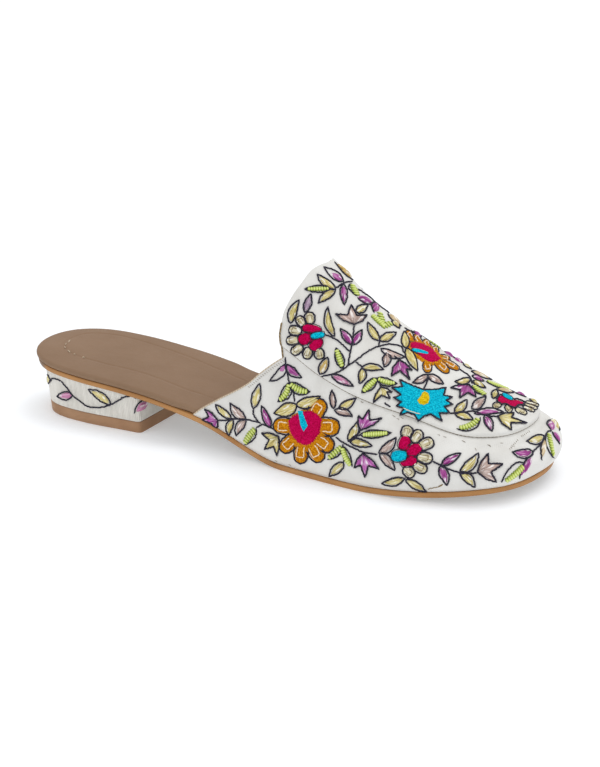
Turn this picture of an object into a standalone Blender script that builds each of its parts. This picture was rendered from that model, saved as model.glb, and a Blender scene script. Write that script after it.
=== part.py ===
"""Backless mojari, right foot: a mule of embroidered cloth on a thin sole with a low covered heel.

Sizes are in millimetres, and the meshes are made in metres. X runs from heel to toe, +Y is the
inner side of the foot and the floor is at Z = 0. A station is a distance from the back of the
sole. A girth is a place round the upper: 0 on the ridge of the instep, -1 at the outer edge of
the sole and 1 at its inner edge.
"""

import math

import bmesh
import bpy
import numpy as np

MM = 0.001

# Driving sizes
SOLE_LENGTH = 250.0
BALL_WIDTH = 84.0
INSTEP_HEIGHT = 81.4
HEEL_HEIGHT = 23.2
TOE_SPRING = 4.9
GAP = 0.3

# Sole
OUTSOLE_THICKNESS = 2.3
OUTSOLE_CHAMFER = 0.5
TOE_TUCK = 1.5
TUCK_START = 215.0
INSOLE_THICKNESS = 3.0
INSOLE_OVERHANG = 0.8
INSOLE_CLEARANCE = 0.4
INSOLE_NARROWS = (94.0, 96.6)

# Heel
HEEL_BREAST = 67.0
HEEL_CORNER = 2.0
HEEL_CORNER_ANGLES = (30, 60, 90)
HEEL_TAPER = 2.0
TOP_PIECE_HEIGHT = 5.2

# Upper
WALL = 1.8
FEATHER_INSET = 0.6
FEATHER_TURN = 240.0
FAN_START = 185.0
FAN_END = 220.0
BULGE_REACH = 0.62
BULGE_POWER = 1.2
APRON_THICKNESS = 0.8

# Steps of the meshes
TURN_NUDGE = 1e-3
JOIN_DISTANCE = 1e-4
SHARP_ANGLE = 40.0
SOLE_STEPS = 56
NARROWING_STEPS = 4
HEEL_STEPS = 15
UPPER_ROWS = 36
TONGUE_STEPS = 9
WING_STEPS = 5
APRON_STEPS = 8


def table(columns, *rows):
    """A short table, as one array for each named column."""
    return dict(zip(columns, np.array(rows, float).T))


# Outline of the sole, round from the heel's back at 0 degrees to the toe's tip at 180. Widths run
# from the middle line to the outer and inner edge, as shares of the ball's.
PLAN = table(
    ("angle", "outer", "inner"),
    (0, 0.000, 0.000),
    (15, 0.188, 0.182),
    (30, 0.318, 0.299),
    (45, 0.362, 0.337),
    (60, 0.358, 0.332),
    (75, 0.361, 0.324),
    (90, 0.400, 0.350),
    (105, 0.467, 0.423),
    (120, 0.505, 0.492),
    (135, 0.480, 0.501),
    (150, 0.386, 0.420),
    (165, 0.221, 0.253),
    (180, -0.030, 0.030),
)

# Underside of the outsole: heel seat, arch, flat tread and toe spring
UNDERSIDE = table(
    ("station", "height"),
    (0.00 * SOLE_LENGTH, HEEL_HEIGHT),
    (HEEL_BREAST, 0.755 * HEEL_HEIGHT),
    (0.40 * SOLE_LENGTH, 0.505 * HEEL_HEIGHT),
    (0.576 * SOLE_LENGTH, 0.0),
    (0.72 * SOLE_LENGTH, 0.0),
    (0.94 * SOLE_LENGTH, 0.82 * TOE_SPRING),
    (1.00 * SOLE_LENGTH, TOE_SPRING),
)

# Edge of the insole: how far it stands in, and its height as a share of the thickness
INSOLE_EDGE = table(
    ("inset", "height"),
    (0.6, 0.00),
    (0.0, 0.30),
    (0.2, 0.75),
    (1.0, 1.00),
)

# How far the heel block stands in from the edge of the outsole
HEEL_INSET = table(
    ("station", "inset"),
    (0.0, 4.0),
    (15.0, 2.0),
    (HEEL_BREAST, 1.0),
)

# Sections of the upper. Roof is the ridge's height as a share of the instep's and middle its
# sideways place as a share of the ball's width. Across and up are the powers of the section's
# curve, which is a rounder arch when they are near 2, and bulge is in millimetres.
SECTIONS = table(
    ("station", "roof", "middle", "across", "up", "bulge"),
    (0.360, 1.450, 0.000, 1.80, 2.06, 0.50),
    (0.520, 1.167, 0.012, 1.80, 2.06, 0.85),
    (0.592, 1.000, 0.017, 1.80, 2.06, 1.00),
    (0.632, 0.877, 0.020, 1.81, 2.14, 1.05),
    (0.724, 0.672, 0.027, 1.82, 2.42, 1.18),
    (0.816, 0.514, 0.034, 1.68, 2.62, 1.35),
    (0.908, 0.396, 0.041, 1.71, 2.90, 2.50),
    (1.024, 0.368, 0.041, 1.76, 3.28, 4.20),
)

# The collar's edge: over the tongue to the notch, and down the wing to the sole
NOTCH_GIRTH = 0.645
NOTCH_STATION = 0.568
TONGUE_EDGE = table(
    ("girth", "station"),
    (0.000, 0.5894),
    (0.050, 0.5886),
    (0.100, 0.5856),
    (0.210, 0.5776),
    (0.310, 0.5720),
    (0.405, 0.5638),
    (0.510, 0.5566),
    (0.570, 0.557),
    (0.608, 0.562),
    (NOTCH_GIRTH, NOTCH_STATION),
)
WING_EDGE = table(
    ("girth", "station"),
    (NOTCH_GIRTH, NOTCH_STATION),
    (0.685, 0.552),
    (0.743, 0.529),
    (0.804, 0.505),
    (0.919, 0.441),
    (1.000, 0.388),
)

# The apron's seam, round the toe
APRON_SEAM = table(
    ("station", "girth"),
    (0.56, 0.610),
    (0.68, 0.610),
    (0.82, 0.567),
    (1.00, 0.576),
)


def smooth(places, values, at):
    """A monotone cubic through the values, flat at each peak and hollow."""
    span = np.diff(places)
    slope = np.diff(values) / span
    before, after = slope[:-1], slope[1:]
    weight_before = 2 * span[1:] + span[:-1]
    weight_after = span[1:] + 2 * span[:-1]
    tangent = np.zeros_like(values)
    tangent[0], tangent[-1] = slope[0], slope[-1]
    same_way = before * after > 0
    mean = weight_before[same_way] / before[same_way] + weight_after[same_way] / after[same_way]
    tangent[1:-1][same_way] = (weight_before + weight_after)[same_way] / mean
    at = np.clip(at, places[0], places[-1])
    cell = np.clip(np.searchsorted(places, at, side="right") - 1, 0, len(span) - 1)
    step = (at - places[cell]) / span[cell]
    return (
        values[cell] * (1 + 2 * step) * (1 - step) ** 2
        + tangent[cell] * span[cell] * step * (1 - step) ** 2
        + values[cell + 1] * step**2 * (3 - 2 * step)
        + tangent[cell + 1] * span[cell] * step**2 * (step - 1)
    )


def turn(station):
    """Station as a half turn from heel to toe, in which the round ends of the sole are smooth."""
    return np.arccos(np.clip(1 - 2 * station / SOLE_LENGTH, -1, 1)) / math.pi


def station_at(turned):
    return SOLE_LENGTH * (1 - np.cos(math.pi * turned)) / 2


def half_width(station, side):
    """Distance from the middle line to the sole's edge, by a cubic through the plan's ring."""
    sign = -1.0 if side == "outer" else 1.0
    ring = np.append(-PLAN["outer"], PLAN["inner"][-2:0:-1])
    steps = turn(station) * (len(PLAN["angle"]) - 1)
    place = steps if side == "outer" else len(ring) - steps
    cell = np.floor(place).astype(int)
    part = place - cell
    before, start, end, after = (ring[(cell + i) % len(ring)] for i in (-1, 0, 1, 2))
    bend = 2 * before - 5 * start + 4 * end - after
    twist = 3 * (start - end) + after - before
    return sign * BALL_WIDTH * (start + 0.5 * part * (end - before + part * (bend + part * twist)))


def underside(station):
    return smooth(UNDERSIDE["station"], UNDERSIDE["height"], station)


def toe_tuck(station):
    """How far the sole draws in under the toe."""
    share = np.clip((station - TUCK_START) / (SOLE_LENGTH - TUCK_START), 0, 1)
    return TOE_TUCK * share**2 * (3 - 2 * share)


def section(column, station):
    return smooth(SECTIONS["station"] * SOLE_LENGTH, SECTIONS[column], station)


def edge(stations, side, inset):
    """Points (x, y) of the sole's outline on one side, moved in from the edge by the inset."""
    sign = -1.0 if side == "outer" else 1.0
    ahead = station_at(np.clip(turn(stations) + TURN_NUDGE, 0, 1))
    behind = station_at(np.clip(turn(stations) - TURN_NUDGE, 0, 1))
    run = np.stack([ahead - behind, sign * (half_width(ahead, side) - half_width(behind, side))], -1)
    run[stations <= 0] = (0.0, sign)
    run[stations >= SOLE_LENGTH] = (0.0, -sign)
    run /= np.linalg.norm(run, axis=1)[:, None]
    inwards = sign * np.stack([run[:, 1], -run[:, 0]], -1)
    outline = np.stack([stations, sign * half_width(stations, side)], -1)
    return outline + inwards * np.reshape(inset, (-1, 1))


def upper_point(station, girth):
    """A point on the outside of the upper."""
    lift = (1 - np.abs(girth)) * math.pi / 2
    spread = np.cos(lift) ** (2 / section("across", station))
    rise = np.sin(lift) ** (2 / section("up", station))
    inset = FEATHER_INSET + toe_tuck(station)
    ahead = np.clip((station - FEATHER_TURN) / (SOLE_LENGTH - FEATHER_TURN), 0, 1)
    sideways = np.sqrt(1 - ahead**2)
    outer = inset * sideways - half_width(station, "outer")
    inner = half_width(station, "inner") - inset * sideways
    foot_y = np.where(girth < 0, outer, inner)
    foot_x = station - inset * ahead
    fan = np.clip((station - FAN_START) / (SOLE_LENGTH - FAN_START), 0, 1)
    ridge_x = station - (SOLE_LENGTH - FAN_END) * fan**2
    ridge_y = BALL_WIDTH * section("middle", ridge_x)
    reach = np.hypot(foot_x - ridge_x, foot_y - ridge_y)
    bulge = np.sin(math.pi * np.clip(rise / BULGE_REACH, 0, 1)) ** BULGE_POWER
    swell = section("bulge", station) * bulge
    share = spread + swell / reach
    x = ridge_x + (foot_x - ridge_x) * share
    y = ridge_y + (foot_y - ridge_y) * share
    base = underside(station) + OUTSOLE_THICKNESS + GAP
    z = base + (INSTEP_HEIGHT * section("roof", x) - base) * rise
    return np.stack([x, y, z], -1)


def collar_station(girth):
    """Where the upper begins: the edge of its tongue and wings."""
    around = np.abs(girth)
    tongue = smooth(TONGUE_EDGE["girth"], TONGUE_EDGE["station"], around)
    wing = smooth(WING_EDGE["girth"], WING_EDGE["station"], around)
    return SOLE_LENGTH * np.where(around <= NOTCH_GIRTH, tongue, wing)


def rows_to_toe(girth):
    """Stations from the collar to the tip, closer together towards the tip."""
    along = np.sin(np.linspace(0, math.pi / 2, UPPER_ROWS + 1))[:, None]
    start = collar_station(girth)[None, :]
    return start + (SOLE_LENGTH - start) * along


def finish(name, colour, roughness):
    """A plain material from an sRGB colour of 0 to 255."""
    material = bpy.data.materials.new(name)
    material.use_nodes = True
    shader = material.node_tree.nodes["Principled BSDF"]
    linear = [(channel / 255) ** 2.2 for channel in colour]
    shader.inputs["Base Color"].default_value = (*linear, 1.0)
    shader.inputs["Roughness"].default_value = roughness
    shader.inputs["Metallic"].default_value = 0.0
    return material


def add_object(name, mesh_data, material):
    """Closes the mesh's normals outwards and adds it to the scene, in metres."""
    bmesh.ops.remove_doubles(mesh_data, verts=mesh_data.verts, dist=JOIN_DISTANCE)
    bmesh.ops.dissolve_degenerate(mesh_data, edges=mesh_data.edges, dist=JOIN_DISTANCE)
    bmesh.ops.recalc_face_normals(mesh_data, faces=mesh_data.faces)
    bmesh.ops.triangulate(mesh_data, faces=mesh_data.faces)
    for vertex in mesh_data.verts:
        vertex.co *= MM
    mesh = bpy.data.meshes.new(name)
    mesh_data.to_mesh(mesh)
    mesh_data.free()
    mesh.shade_smooth()
    mesh.set_sharp_from_angle(angle=math.radians(SHARP_ANGLE))
    mesh.materials.append(material)
    piece = bpy.data.objects.new(name, mesh)
    bpy.context.collection.objects.link(piece)
    return piece


def loft(name, loops, material):
    """A closed solid through loops of points, with both ends capped where they have a width."""
    mesh_data = bmesh.new()
    rings = [[mesh_data.verts.new(point) for point in loop] for loop in loops]
    count = len(rings[0])
    for ring, following in zip(rings, rings[1:]):
        for i in range(count):
            j = (i + 1) % count
            mesh_data.faces.new((ring[i], ring[j], following[j], following[i]))
    for ring, loop in ((rings[0], loops[0]), (rings[-1], loops[-1])):
        if np.ptp(loop[:, 1]) > GAP:
            mesh_data.faces.new(ring)
    return add_object(name, mesh_data, material)


def slab_loops(stations, levels):
    """Loops across the sole: each level gives an inset and a height at every station."""
    outer = [np.column_stack([edge(stations, "outer", inset), height]) for inset, height in levels]
    inner = [np.column_stack([edge(stations, "inner", inset), height]) for inset, height in levels]
    return [
        np.array([points[i] for points in outer] + [points[i] for points in reversed(inner)])
        for i in range(len(stations))
    ]


def make_outsole():
    stations = station_at(np.linspace(0, 1, SOLE_STEPS + 1))
    bottom = underside(stations)
    inset = toe_tuck(stations)
    levels = (
        (inset + OUTSOLE_CHAMFER, bottom),
        (inset, bottom + OUTSOLE_CHAMFER),
        (inset, bottom + OUTSOLE_THICKNESS),
    )
    return loft("outsole", slab_loops(stations, levels), finish("sole_leather", (190, 130, 75), 0.6))


def make_insole():
    """The footbed, which stands over the heel seat's edge and narrows to fit inside the upper."""
    narrow_start, narrow_end = INSOLE_NARROWS
    steps = station_at(np.linspace(0, 1, SOLE_STEPS + 1))
    stations = np.unique(np.append(steps, np.linspace(narrow_start, narrow_end, NARROWING_STEPS)))
    narrowing = np.clip((stations - narrow_start) / (narrow_end - narrow_start), 0, 1)
    inside = FEATHER_INSET + WALL + INSOLE_CLEARANCE + toe_tuck(stations)
    inset = -INSOLE_OVERHANG + (inside + INSOLE_OVERHANG) * narrowing
    bottom = underside(stations) + OUTSOLE_THICKNESS + GAP
    levels = [
        (inset + more, bottom + share * INSOLE_THICKNESS)
        for more, share in zip(INSOLE_EDGE["inset"], INSOLE_EDGE["height"])
    ]
    return loft("insole", slab_loops(stations, levels), finish("footbed_leather", (146, 122, 99), 0.55))


def heel_loops(low, high, low_taper, high_taper):
    """Loops of the heel's outline between two heights, cut straight across at the breast."""
    back = station_at(np.linspace(0, turn(HEEL_BREAST - HEEL_CORNER), HEEL_STEPS))
    corner = HEEL_BREAST - HEEL_CORNER * (1 - np.sin(np.radians(HEEL_CORNER_ANGLES)))
    stations = np.append(back, corner)
    past_corner = np.clip(stations - (HEEL_BREAST - HEEL_CORNER), 0, HEEL_CORNER)
    rounding = HEEL_CORNER - np.sqrt(HEEL_CORNER**2 - past_corner**2)
    inset = smooth(HEEL_INSET["station"], HEEL_INSET["inset"], stations) + rounding
    ones = np.ones_like(stations)
    levels = ((inset + low_taper, low * ones), (inset + high_taper, high * ones))
    return slab_loops(stations, levels)


def make_heel_block():
    """The cloth-covered block, whose top follows the slope of the outsole."""
    low = TOP_PIECE_HEIGHT + GAP
    loops = heel_loops(low, HEEL_HEIGHT, HEEL_TAPER * (1 - low / HEEL_HEIGHT), 0.0)
    for loop in loops:
        on_top = loop[:, 2] > low
        loop[on_top, 2] = underside(loop[on_top, 0]) - GAP
    return loft("heel_block", loops, finish("heel_cloth", (205, 202, 193), 0.85))


def make_heel_top_piece():
    upper_taper = HEEL_TAPER * (1 - TOP_PIECE_HEIGHT / HEEL_HEIGHT)
    loops = heel_loops(0.0, TOP_PIECE_HEIGHT, HEEL_TAPER, upper_taper)
    return loft("heel_top_piece", loops, finish("heel_leather", (155, 115, 85), 0.6))


def sheet_solid(name, grid, low, high, material, level_feet=False):
    """A wall between two offsets from a grid of points, whose last row closes at the toe's tip."""
    rows, columns = grid.shape[:2]
    mesh_data = bmesh.new()
    base = [[mesh_data.verts.new(point) for point in row] for row in grid]
    guides = list(mesh_data.verts)
    for j in range(columns // 2):
        base[-1][columns - 1 - j] = base[-1][j]
    cells = [
        (base[i][j], base[i + 1][j], base[i + 1][j + 1], base[i][j + 1])
        for i in range(rows - 1)
        for j in range(columns - 1)
    ]
    sheet = [mesh_data.faces.new(dict.fromkeys(cell)) for cell in cells]
    bmesh.ops.recalc_face_normals(mesh_data, faces=sheet)
    mesh_data.normal_update()
    side = 1.0 if base[0][columns // 2].normal.z > 0 else -1.0
    used = {vertex for row in base for vertex in row}
    layers = {}
    for vertex in used:
        places = [vertex.co + side * offset * vertex.normal for offset in (low, high)]
        if level_feet and vertex.is_boundary and vertex not in base[0]:
            places[0].z = places[1].z
        layers[vertex] = [mesh_data.verts.new(place) for place in places]
    for face in sheet:
        for layer in (0, 1):
            mesh_data.faces.new([layers[vertex][layer] for vertex in face.verts])
    for rim in [line for line in mesh_data.edges if line.is_boundary and line.verts[0] in used]:
        start, end = (layers[vertex] for vertex in rim.verts)
        mesh_data.faces.new((start[0], end[0], end[1], start[1]))
    bmesh.ops.delete(mesh_data, geom=guides, context="VERTS")
    return add_object(name, mesh_data, material)


def make_upper():
    """Vamp, wings and tongue in one wall, open at the back and underneath."""
    tongue = np.linspace(0, NOTCH_GIRTH, TONGUE_STEPS + 1)
    wing = np.linspace(NOTCH_GIRTH, 1, WING_STEPS + 1)
    half = np.append(tongue, wing[1:])
    girth = np.append(-half[:0:-1], half)
    grid = upper_point(rows_to_toe(girth), girth[None, :])
    cloth = finish("upper_cloth", (228, 226, 222), 0.85)
    return sheet_solid("upper", grid, -WALL, 0.0, cloth, level_feet=True)


def make_apron():
    """The raised panel over the instep and toe, inside the seam."""
    share = np.linspace(-1, 1, 2 * APRON_STEPS + 1)
    seam_at_collar = APRON_SEAM["girth"][0]
    stations = rows_to_toe(share * seam_at_collar)
    seam = smooth(APRON_SEAM["station"] * SOLE_LENGTH, APRON_SEAM["girth"], stations)
    grid = upper_point(stations, share[None, :] * seam)
    cloth = finish("apron_cloth", (230, 228, 224), 0.85)
    return sheet_solid("apron", grid, GAP, GAP + APRON_THICKNESS, cloth)


def stand_at_origin(pieces):
    """Parents the pieces to an empty that puts the middle of their box over the origin."""
    corners = np.array([vertex.co for piece in pieces for vertex in piece.data.vertices])
    middle = (corners.min(axis=0) + corners.max(axis=0)) / 2
    shoe = bpy.data.objects.new("mojari", None)
    bpy.context.collection.objects.link(shoe)
    shoe.location = (-middle[0], -middle[1], 0.0)
    for piece in pieces:
        piece.parent = shoe


def main():
    for old in list(bpy.data.objects):
        bpy.data.objects.remove(old)
    stand_at_origin(
        [
            make_outsole(),
            make_insole(),
            make_heel_block(),
            make_heel_top_piece(),
            make_upper(),
            make_apron(),
        ]
    )


main()
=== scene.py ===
"""Looks of the backless mojari: embroidered cloth, leather footbed, thin sole and covered heel.

Lengths are in millimetres and become metres when a mesh is made. A station is a distance from the
back of the sole. A girth is a place round the upper: 0 on the ridge of the instep, -1 at the outer
edge of the sole and 1 at its inner edge.
"""

import math

import bmesh
import bpy
import numpy as np
from mathutils import Color, Matrix, Vector
from mathutils.bvhtree import BVHTree
from mathutils.geometry import delaunay_2d_cdt


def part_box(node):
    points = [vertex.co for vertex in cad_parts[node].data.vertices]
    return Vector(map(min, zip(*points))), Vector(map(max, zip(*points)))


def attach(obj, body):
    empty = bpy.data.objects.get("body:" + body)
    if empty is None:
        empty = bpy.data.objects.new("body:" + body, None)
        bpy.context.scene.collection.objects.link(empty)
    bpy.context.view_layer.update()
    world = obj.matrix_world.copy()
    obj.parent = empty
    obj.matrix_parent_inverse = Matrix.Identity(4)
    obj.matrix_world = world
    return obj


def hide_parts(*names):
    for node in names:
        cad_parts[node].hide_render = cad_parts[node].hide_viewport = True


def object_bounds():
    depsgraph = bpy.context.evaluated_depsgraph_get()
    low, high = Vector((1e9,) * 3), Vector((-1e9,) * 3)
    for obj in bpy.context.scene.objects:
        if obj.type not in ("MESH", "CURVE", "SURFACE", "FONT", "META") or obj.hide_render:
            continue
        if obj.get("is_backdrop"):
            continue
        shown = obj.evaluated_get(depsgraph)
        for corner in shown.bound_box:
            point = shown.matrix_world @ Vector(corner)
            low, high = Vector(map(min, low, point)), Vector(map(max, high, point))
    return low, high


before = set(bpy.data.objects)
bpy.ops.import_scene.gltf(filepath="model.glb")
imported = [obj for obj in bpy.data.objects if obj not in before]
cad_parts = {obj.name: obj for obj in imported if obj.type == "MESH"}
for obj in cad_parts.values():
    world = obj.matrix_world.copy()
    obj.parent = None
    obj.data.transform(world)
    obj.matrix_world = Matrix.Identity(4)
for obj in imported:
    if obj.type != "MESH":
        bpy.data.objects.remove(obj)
CAD_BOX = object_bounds()

MM = 0.001

# Driving sizes of the shoe, as its solids have them
SOLE_LENGTH = 250.0
BALL_WIDTH = 84.0
INSTEP_HEIGHT = 81.4
HEEL_HEIGHT = 23.2
TOE_SPRING = 4.9
GAP = 0.3
OUTSOLE_THICKNESS = 2.3
TOE_TUCK = 1.5
TUCK_START = 215.0
INSOLE_THICKNESS = 3.0
INSOLE_OVERHANG = 0.8
INSOLE_NARROWS = (98.4, 99.4)
HEEL_BREAST = 67.0
HEEL_CORNER = 2.0
HEEL_TAPER = 2.0
TOP_PIECE_HEIGHT = 5.2
WALL = 1.8
FEATHER_INSET = 0.6
FEATHER_TURN = 240.0
FAN_START = 185.0
FAN_END = 220.0
BULGE_REACH = 0.62
BULGE_POWER = 1.2
TOE_BULGE_POWER = 0.5
APRON_THICKNESS = 0.8

# Where the back of the sole and its middle line lie in the frame
HEEL_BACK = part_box("outsole")[0].x
MIDDLE_LINE = 0.0

# The photograph's camera, fitted to the outline of the sole
PHOTO_WIDTH, PHOTO_HEIGHT = 600, 767
CAMERA_AZIMUTH = math.radians(28.424)
CAMERA_ELEVATION = math.radians(19.015)
CAMERA_ROLL = math.radians(-0.347)
CAMERA_DISTANCE = 743.555
CAMERA_TARGET = (133.693, 0.0, 25.981)
FOCAL_PIXELS = 1697.881
SENSOR = 36.0
PIXELS_PER_MM = FOCAL_PIXELS / CAMERA_DISTANCE

# The sign of y on each side of the shoe
SIDE_SIGN = {"outer": -1.0, "inner": 1.0}

# Small steps to measure directions with
TURN_NUDGE = 1e-3
GIRTH_NUDGE = 4e-3

# Points nearer than this are one point: in metres, in millimetres and in pixels
JOIN_DISTANCE = 1e-6
LEAST_STEP = 0.01
SAME_PIXEL = 1e-4

# Steps, rows and counts of the meshes
UPPER_ROWS = 110
TONGUE_COLUMNS = 54
WING_COLUMNS = 34
APRON_ROWS = 100
APRON_COLUMNS = 96
RIM_STEPS = 6
ROW_PAST_RIM = 4
SOLE_ROWS = 180
FOOTBED_EDGE_STEPS = 10
NARROWING_STEPS = 7
GROOVE_LEVELS = 19
FOOTBED_COLUMNS = 24
HEEL_STEPS = 60
HEEL_LEVELS = 13
HEEL_CORNER_STEPS = 6
BREAST_STEPS = 40
LEAF_STEPS = 15
FILL_ROWS = 13
FILL_COLUMNS = 15
CORD_SIDES = 6
BEAD_LEVELS = 6
BEAD_SIDES = 10
LEAST_BEADS = 3
SEAM_STEPS = 140
EDGE_STEPS = 60
TICK_STEPS = 3

# Faces that meet at more degrees than this keep a sharp edge
SOLE_SHARP = 60.0
HEEL_SHARP = 50.0

# Edges and seams in millimetres
APRON_LIFT = GAP + APRON_THICKNESS
APRON_EDGE = 0.15
APRON_ROLL = 1.2
SEAM_DEPTH = 0.25
SEAM_WIDTH = 0.8
FOOTBED_CLEARANCE = 0.4
FOOTBED_ROUNDING = 1.4
FOOTBED_FLAT = 3.0
GROOVE_WIDTH = 0.75
GROOVE_DEPTH = 0.3

# Edges and seams in shares: of half the wall, the apron's lift, the groove's inset and its width
RIM_REACH = 0.6
APRON_TOE_PUFF = 1.0
FOOTBED_SPAN = 1.25
GROOVE_REACH = 3.0

# The rounding of the footbed's edge, in degrees from its middle height
FOOTBED_EDGE_ANGLES = (-80.0, 90.0)

# Stations between which the painted shade on the back of the sole's edge ends
BACK_SHADE_STATIONS = (14.0, 16.5)

# The outsole's section from below: inset and share of its thickness
SOLE_PROFILE = (
    (8.0, 0.0), (0.6, 0.0), (0.25, 0.05), (0.0, 0.4),
    (0.0, 0.8), (0.15, 0.95), (0.5, 1.0), (8.0, 1.0),
)
# Steps round that section which lie underneath
SOLE_UNDERSIDE = [0, -2, -1]

# The top piece's section from below: height and inset
TOP_PIECE_PROFILE = ((0.0, 0.3), (0.3, 0.0), (TOP_PIECE_HEIGHT - 0.2, 0.0), (TOP_PIECE_HEIGHT, 0.2))

# Soft folds: station, girth, half length, half width, slant and height, where a trough is below 0
GIRTH_LENGTH = 75.0
FOLDS = (
    (232.0, -0.80, 12.0, 2.2, 0.1, -0.3),
    (236.0, -0.73, 14.0, 2.8, 0.1, 0.2),
    (140.0, -0.78, 14.0, 4.0, 0.3, -0.25),
    (165.0, -0.30, 16.0, 6.0, 0.4, -0.3),
    (232.0, 0.80, 12.0, 2.2, -0.1, -0.3),
    (140.0, 0.78, 14.0, 4.0, -0.3, -0.25),
)

# Radii of the threads in millimetres
CORD_RADIUS = 0.36
RIDGE_CORD_RADIUS = 0.27
HEART_CORD_RADIUS = 0.17
BOW_THREADS = {"orange": ("pale", 0.26), "cream": ("bronze", 0.13)}
LOOSE_RADIUS = 0.18
FLECK_RADIUS = 0.14
FOOTBED_STITCH_RADIUS = 0.26
SEAM_RADIUS = 0.16
TICK_RADIUS = 0.14
EDGE_RADIUS = 0.22
TONGUE_EDGE_RADIUS = 0.38

# Heights and distances of the embroidery in millimetres
LEAF_RISE = 0.6
RIDGE_LEAF_RISE = 1.15
SEPAL_RISE = 0.8
PETAL_RISE = 0.8
RIDGE_PETAL_RISE = 0.32
RIDGE_HEART_RISE = 0.5
BEAD_RISE = 0.85
PAD_SINK = 0.25
STRAND_RIDGE = 0.08
HEART_LIFT = {"crimson": 0.1, "cyan": 0.6}
HEART_CORD_LIFT = 0.4
RIDGE_HEART_LIFT = 0.55
AREA_CORD_LIFT = 0.25
TICK_PITCH = 1.15
TICK_REACH = (0.9, 1.9)

# Lengths of the embroidery in pixels
LINE_STEP = 1.3
AREA_STEP = 1.1
AREA_ROUND = 2.2
BEAD_PITCH = 2.2
FLECK_LENGTH = 3.4
HATCH_LENGTH = 2.0

# Slant of the short stitches in degrees
HATCH_ANGLE = 52

# How unsteadily the hand lays a thread, in pixels
UNSTEADY = 0.2
HAND = np.random.default_rng(11)

# Powers that shape the outlines of leaves and petals
LEAF_SKEW = 0.82
LEAF_FULLNESS = 0.9
PETAL_ROUNDNESS = 2.4

# Shares of a thread's, leaf's, petal's, bud's or bead's own size
CORD_RISE = 0.6
THREAD_END = 0.3
FILL_START, FILL_END = 0.06, 0.9
FILL_WIDTH = 0.78
SEPAL_FILL = 0.92
PETAL_FILL = {"orange": 0.92, "cream": 0.8, "crimson": 0.92, "cyan": 0.92}
BEAD_START, BEAD_END = 0.13, 0.84
BEAD_WIDTH = 0.76
BEAD_TAPER = 0.28
BEAD_OVERLAP = 1.5
NOTCH_SHARE = 0.62
TULIP_SWELL = 0.25
BOW_HEIGHT = 0.94

# The line of a bow: shares of a petal's length and of half its width
BOW = (
    (0.36, 0.44), (0.64, 0.48), (0.71, 0.44), (0.73, 0.3),
    (0.73, -0.3), (0.71, -0.44), (0.64, -0.48), (0.36, -0.44),
)

# Where a bead's foot lies, in quarter turns from its widest level
BEAD_FOOT = -0.5

# Bundles of strands across a fill, and how far its pattern moves on for each pixel of its place
STRAND_BUNDLES = 7
UV_SHIFT = 0.37

# Points inside an area keep this many steps from its border
AREA_MARGIN = 0.6

# Whip stitches end at this share of the wing's edge, and the tongue's edge thread starts at this girth
TICK_SHARE = 0.4
EDGE_START = 0.53

# A mirrored motif is out of sight when it faces this far away from the camera
HIDDEN_FACING = 0.12

# Colours, and how much smoother or rougher leather is in places
BRIGHTEST = 255
SMOOTHER, ROUGHER = 0.08, 0.12

# Sockets of a Mix node that mixes colours
MIX_FACTOR, MIX_FIRST, MIX_SECOND, MIX_RESULT = 0, 6, 7, 2

# Bands of a wave texture at scale 1 are this far apart
WAVE_SCALE = math.pi / 10

# Stage and light, where the spread of the key light is in degrees
CLIP_START = 10.0
FLOOR_SIZE = 6000.0
FLOOR_COLOURS = ((230, 233, 237), (233, 236, 240))
FLOOR_GLOW = 0.245
SKY_STRENGTH = 0.86
KEY_FROM = (0.18, 0.3, 1.0)
KEY_STRENGTH = 0.7
KEY_SPREAD = 32.0


def table(columns, *rows):
    """A short table, as one array for each named column."""
    return dict(zip(columns, np.array(rows, float).T))


# Outline of the sole, round from the heel's back at 0 degrees to the toe's tip at 180
PLAN = table(
    ("angle", "outer", "inner"),
    (0, 0.000, 0.000),
    (15, 0.188, 0.182),
    (30, 0.318, 0.299),
    (45, 0.362, 0.337),
    (60, 0.358, 0.332),
    (75, 0.361, 0.324),
    (90, 0.400, 0.350),
    (105, 0.467, 0.423),
    (120, 0.505, 0.492),
    (135, 0.480, 0.501),
    (150, 0.386, 0.420),
    (165, 0.221, 0.253),
    (180, -0.030, 0.030),
)

# Underside of the outsole
UNDERSIDE = table(
    ("station", "height"),
    (0.00 * SOLE_LENGTH, HEEL_HEIGHT),
    (HEEL_BREAST, 0.755 * HEEL_HEIGHT),
    (0.40 * SOLE_LENGTH, 0.505 * HEEL_HEIGHT),
    (0.576 * SOLE_LENGTH, 0.0),
    (0.72 * SOLE_LENGTH, 0.0),
    (0.94 * SOLE_LENGTH, 0.82 * TOE_SPRING),
    (1.00 * SOLE_LENGTH, TOE_SPRING),
)

# How far the heel block stands in from the edge of the outsole
HEEL_INSET = table(
    ("station", "inset"),
    (0.0, 4.0),
    (15.0, 2.0),
    (HEEL_BREAST, 1.0),
)

# Sections of the upper
SECTIONS = table(
    ("station", "roof", "middle", "across", "up", "bulge"),
    (0.360, 1.450, 0.000, 1.80, 2.06, 0.50),
    (0.520, 1.167, 0.012, 1.80, 2.06, 0.85),
    (0.592, 1.000, 0.017, 1.80, 2.06, 1.00),
    (0.632, 0.877, 0.020, 1.81, 2.14, 1.05),
    (0.724, 0.672, 0.027, 1.82, 2.42, 1.18),
    (0.816, 0.514, 0.034, 1.68, 2.62, 1.35),
    (0.908, 0.396, 0.041, 1.71, 2.90, 2.50),
    (1.024, 0.368, 0.041, 1.76, 3.28, 4.20),
)

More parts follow.
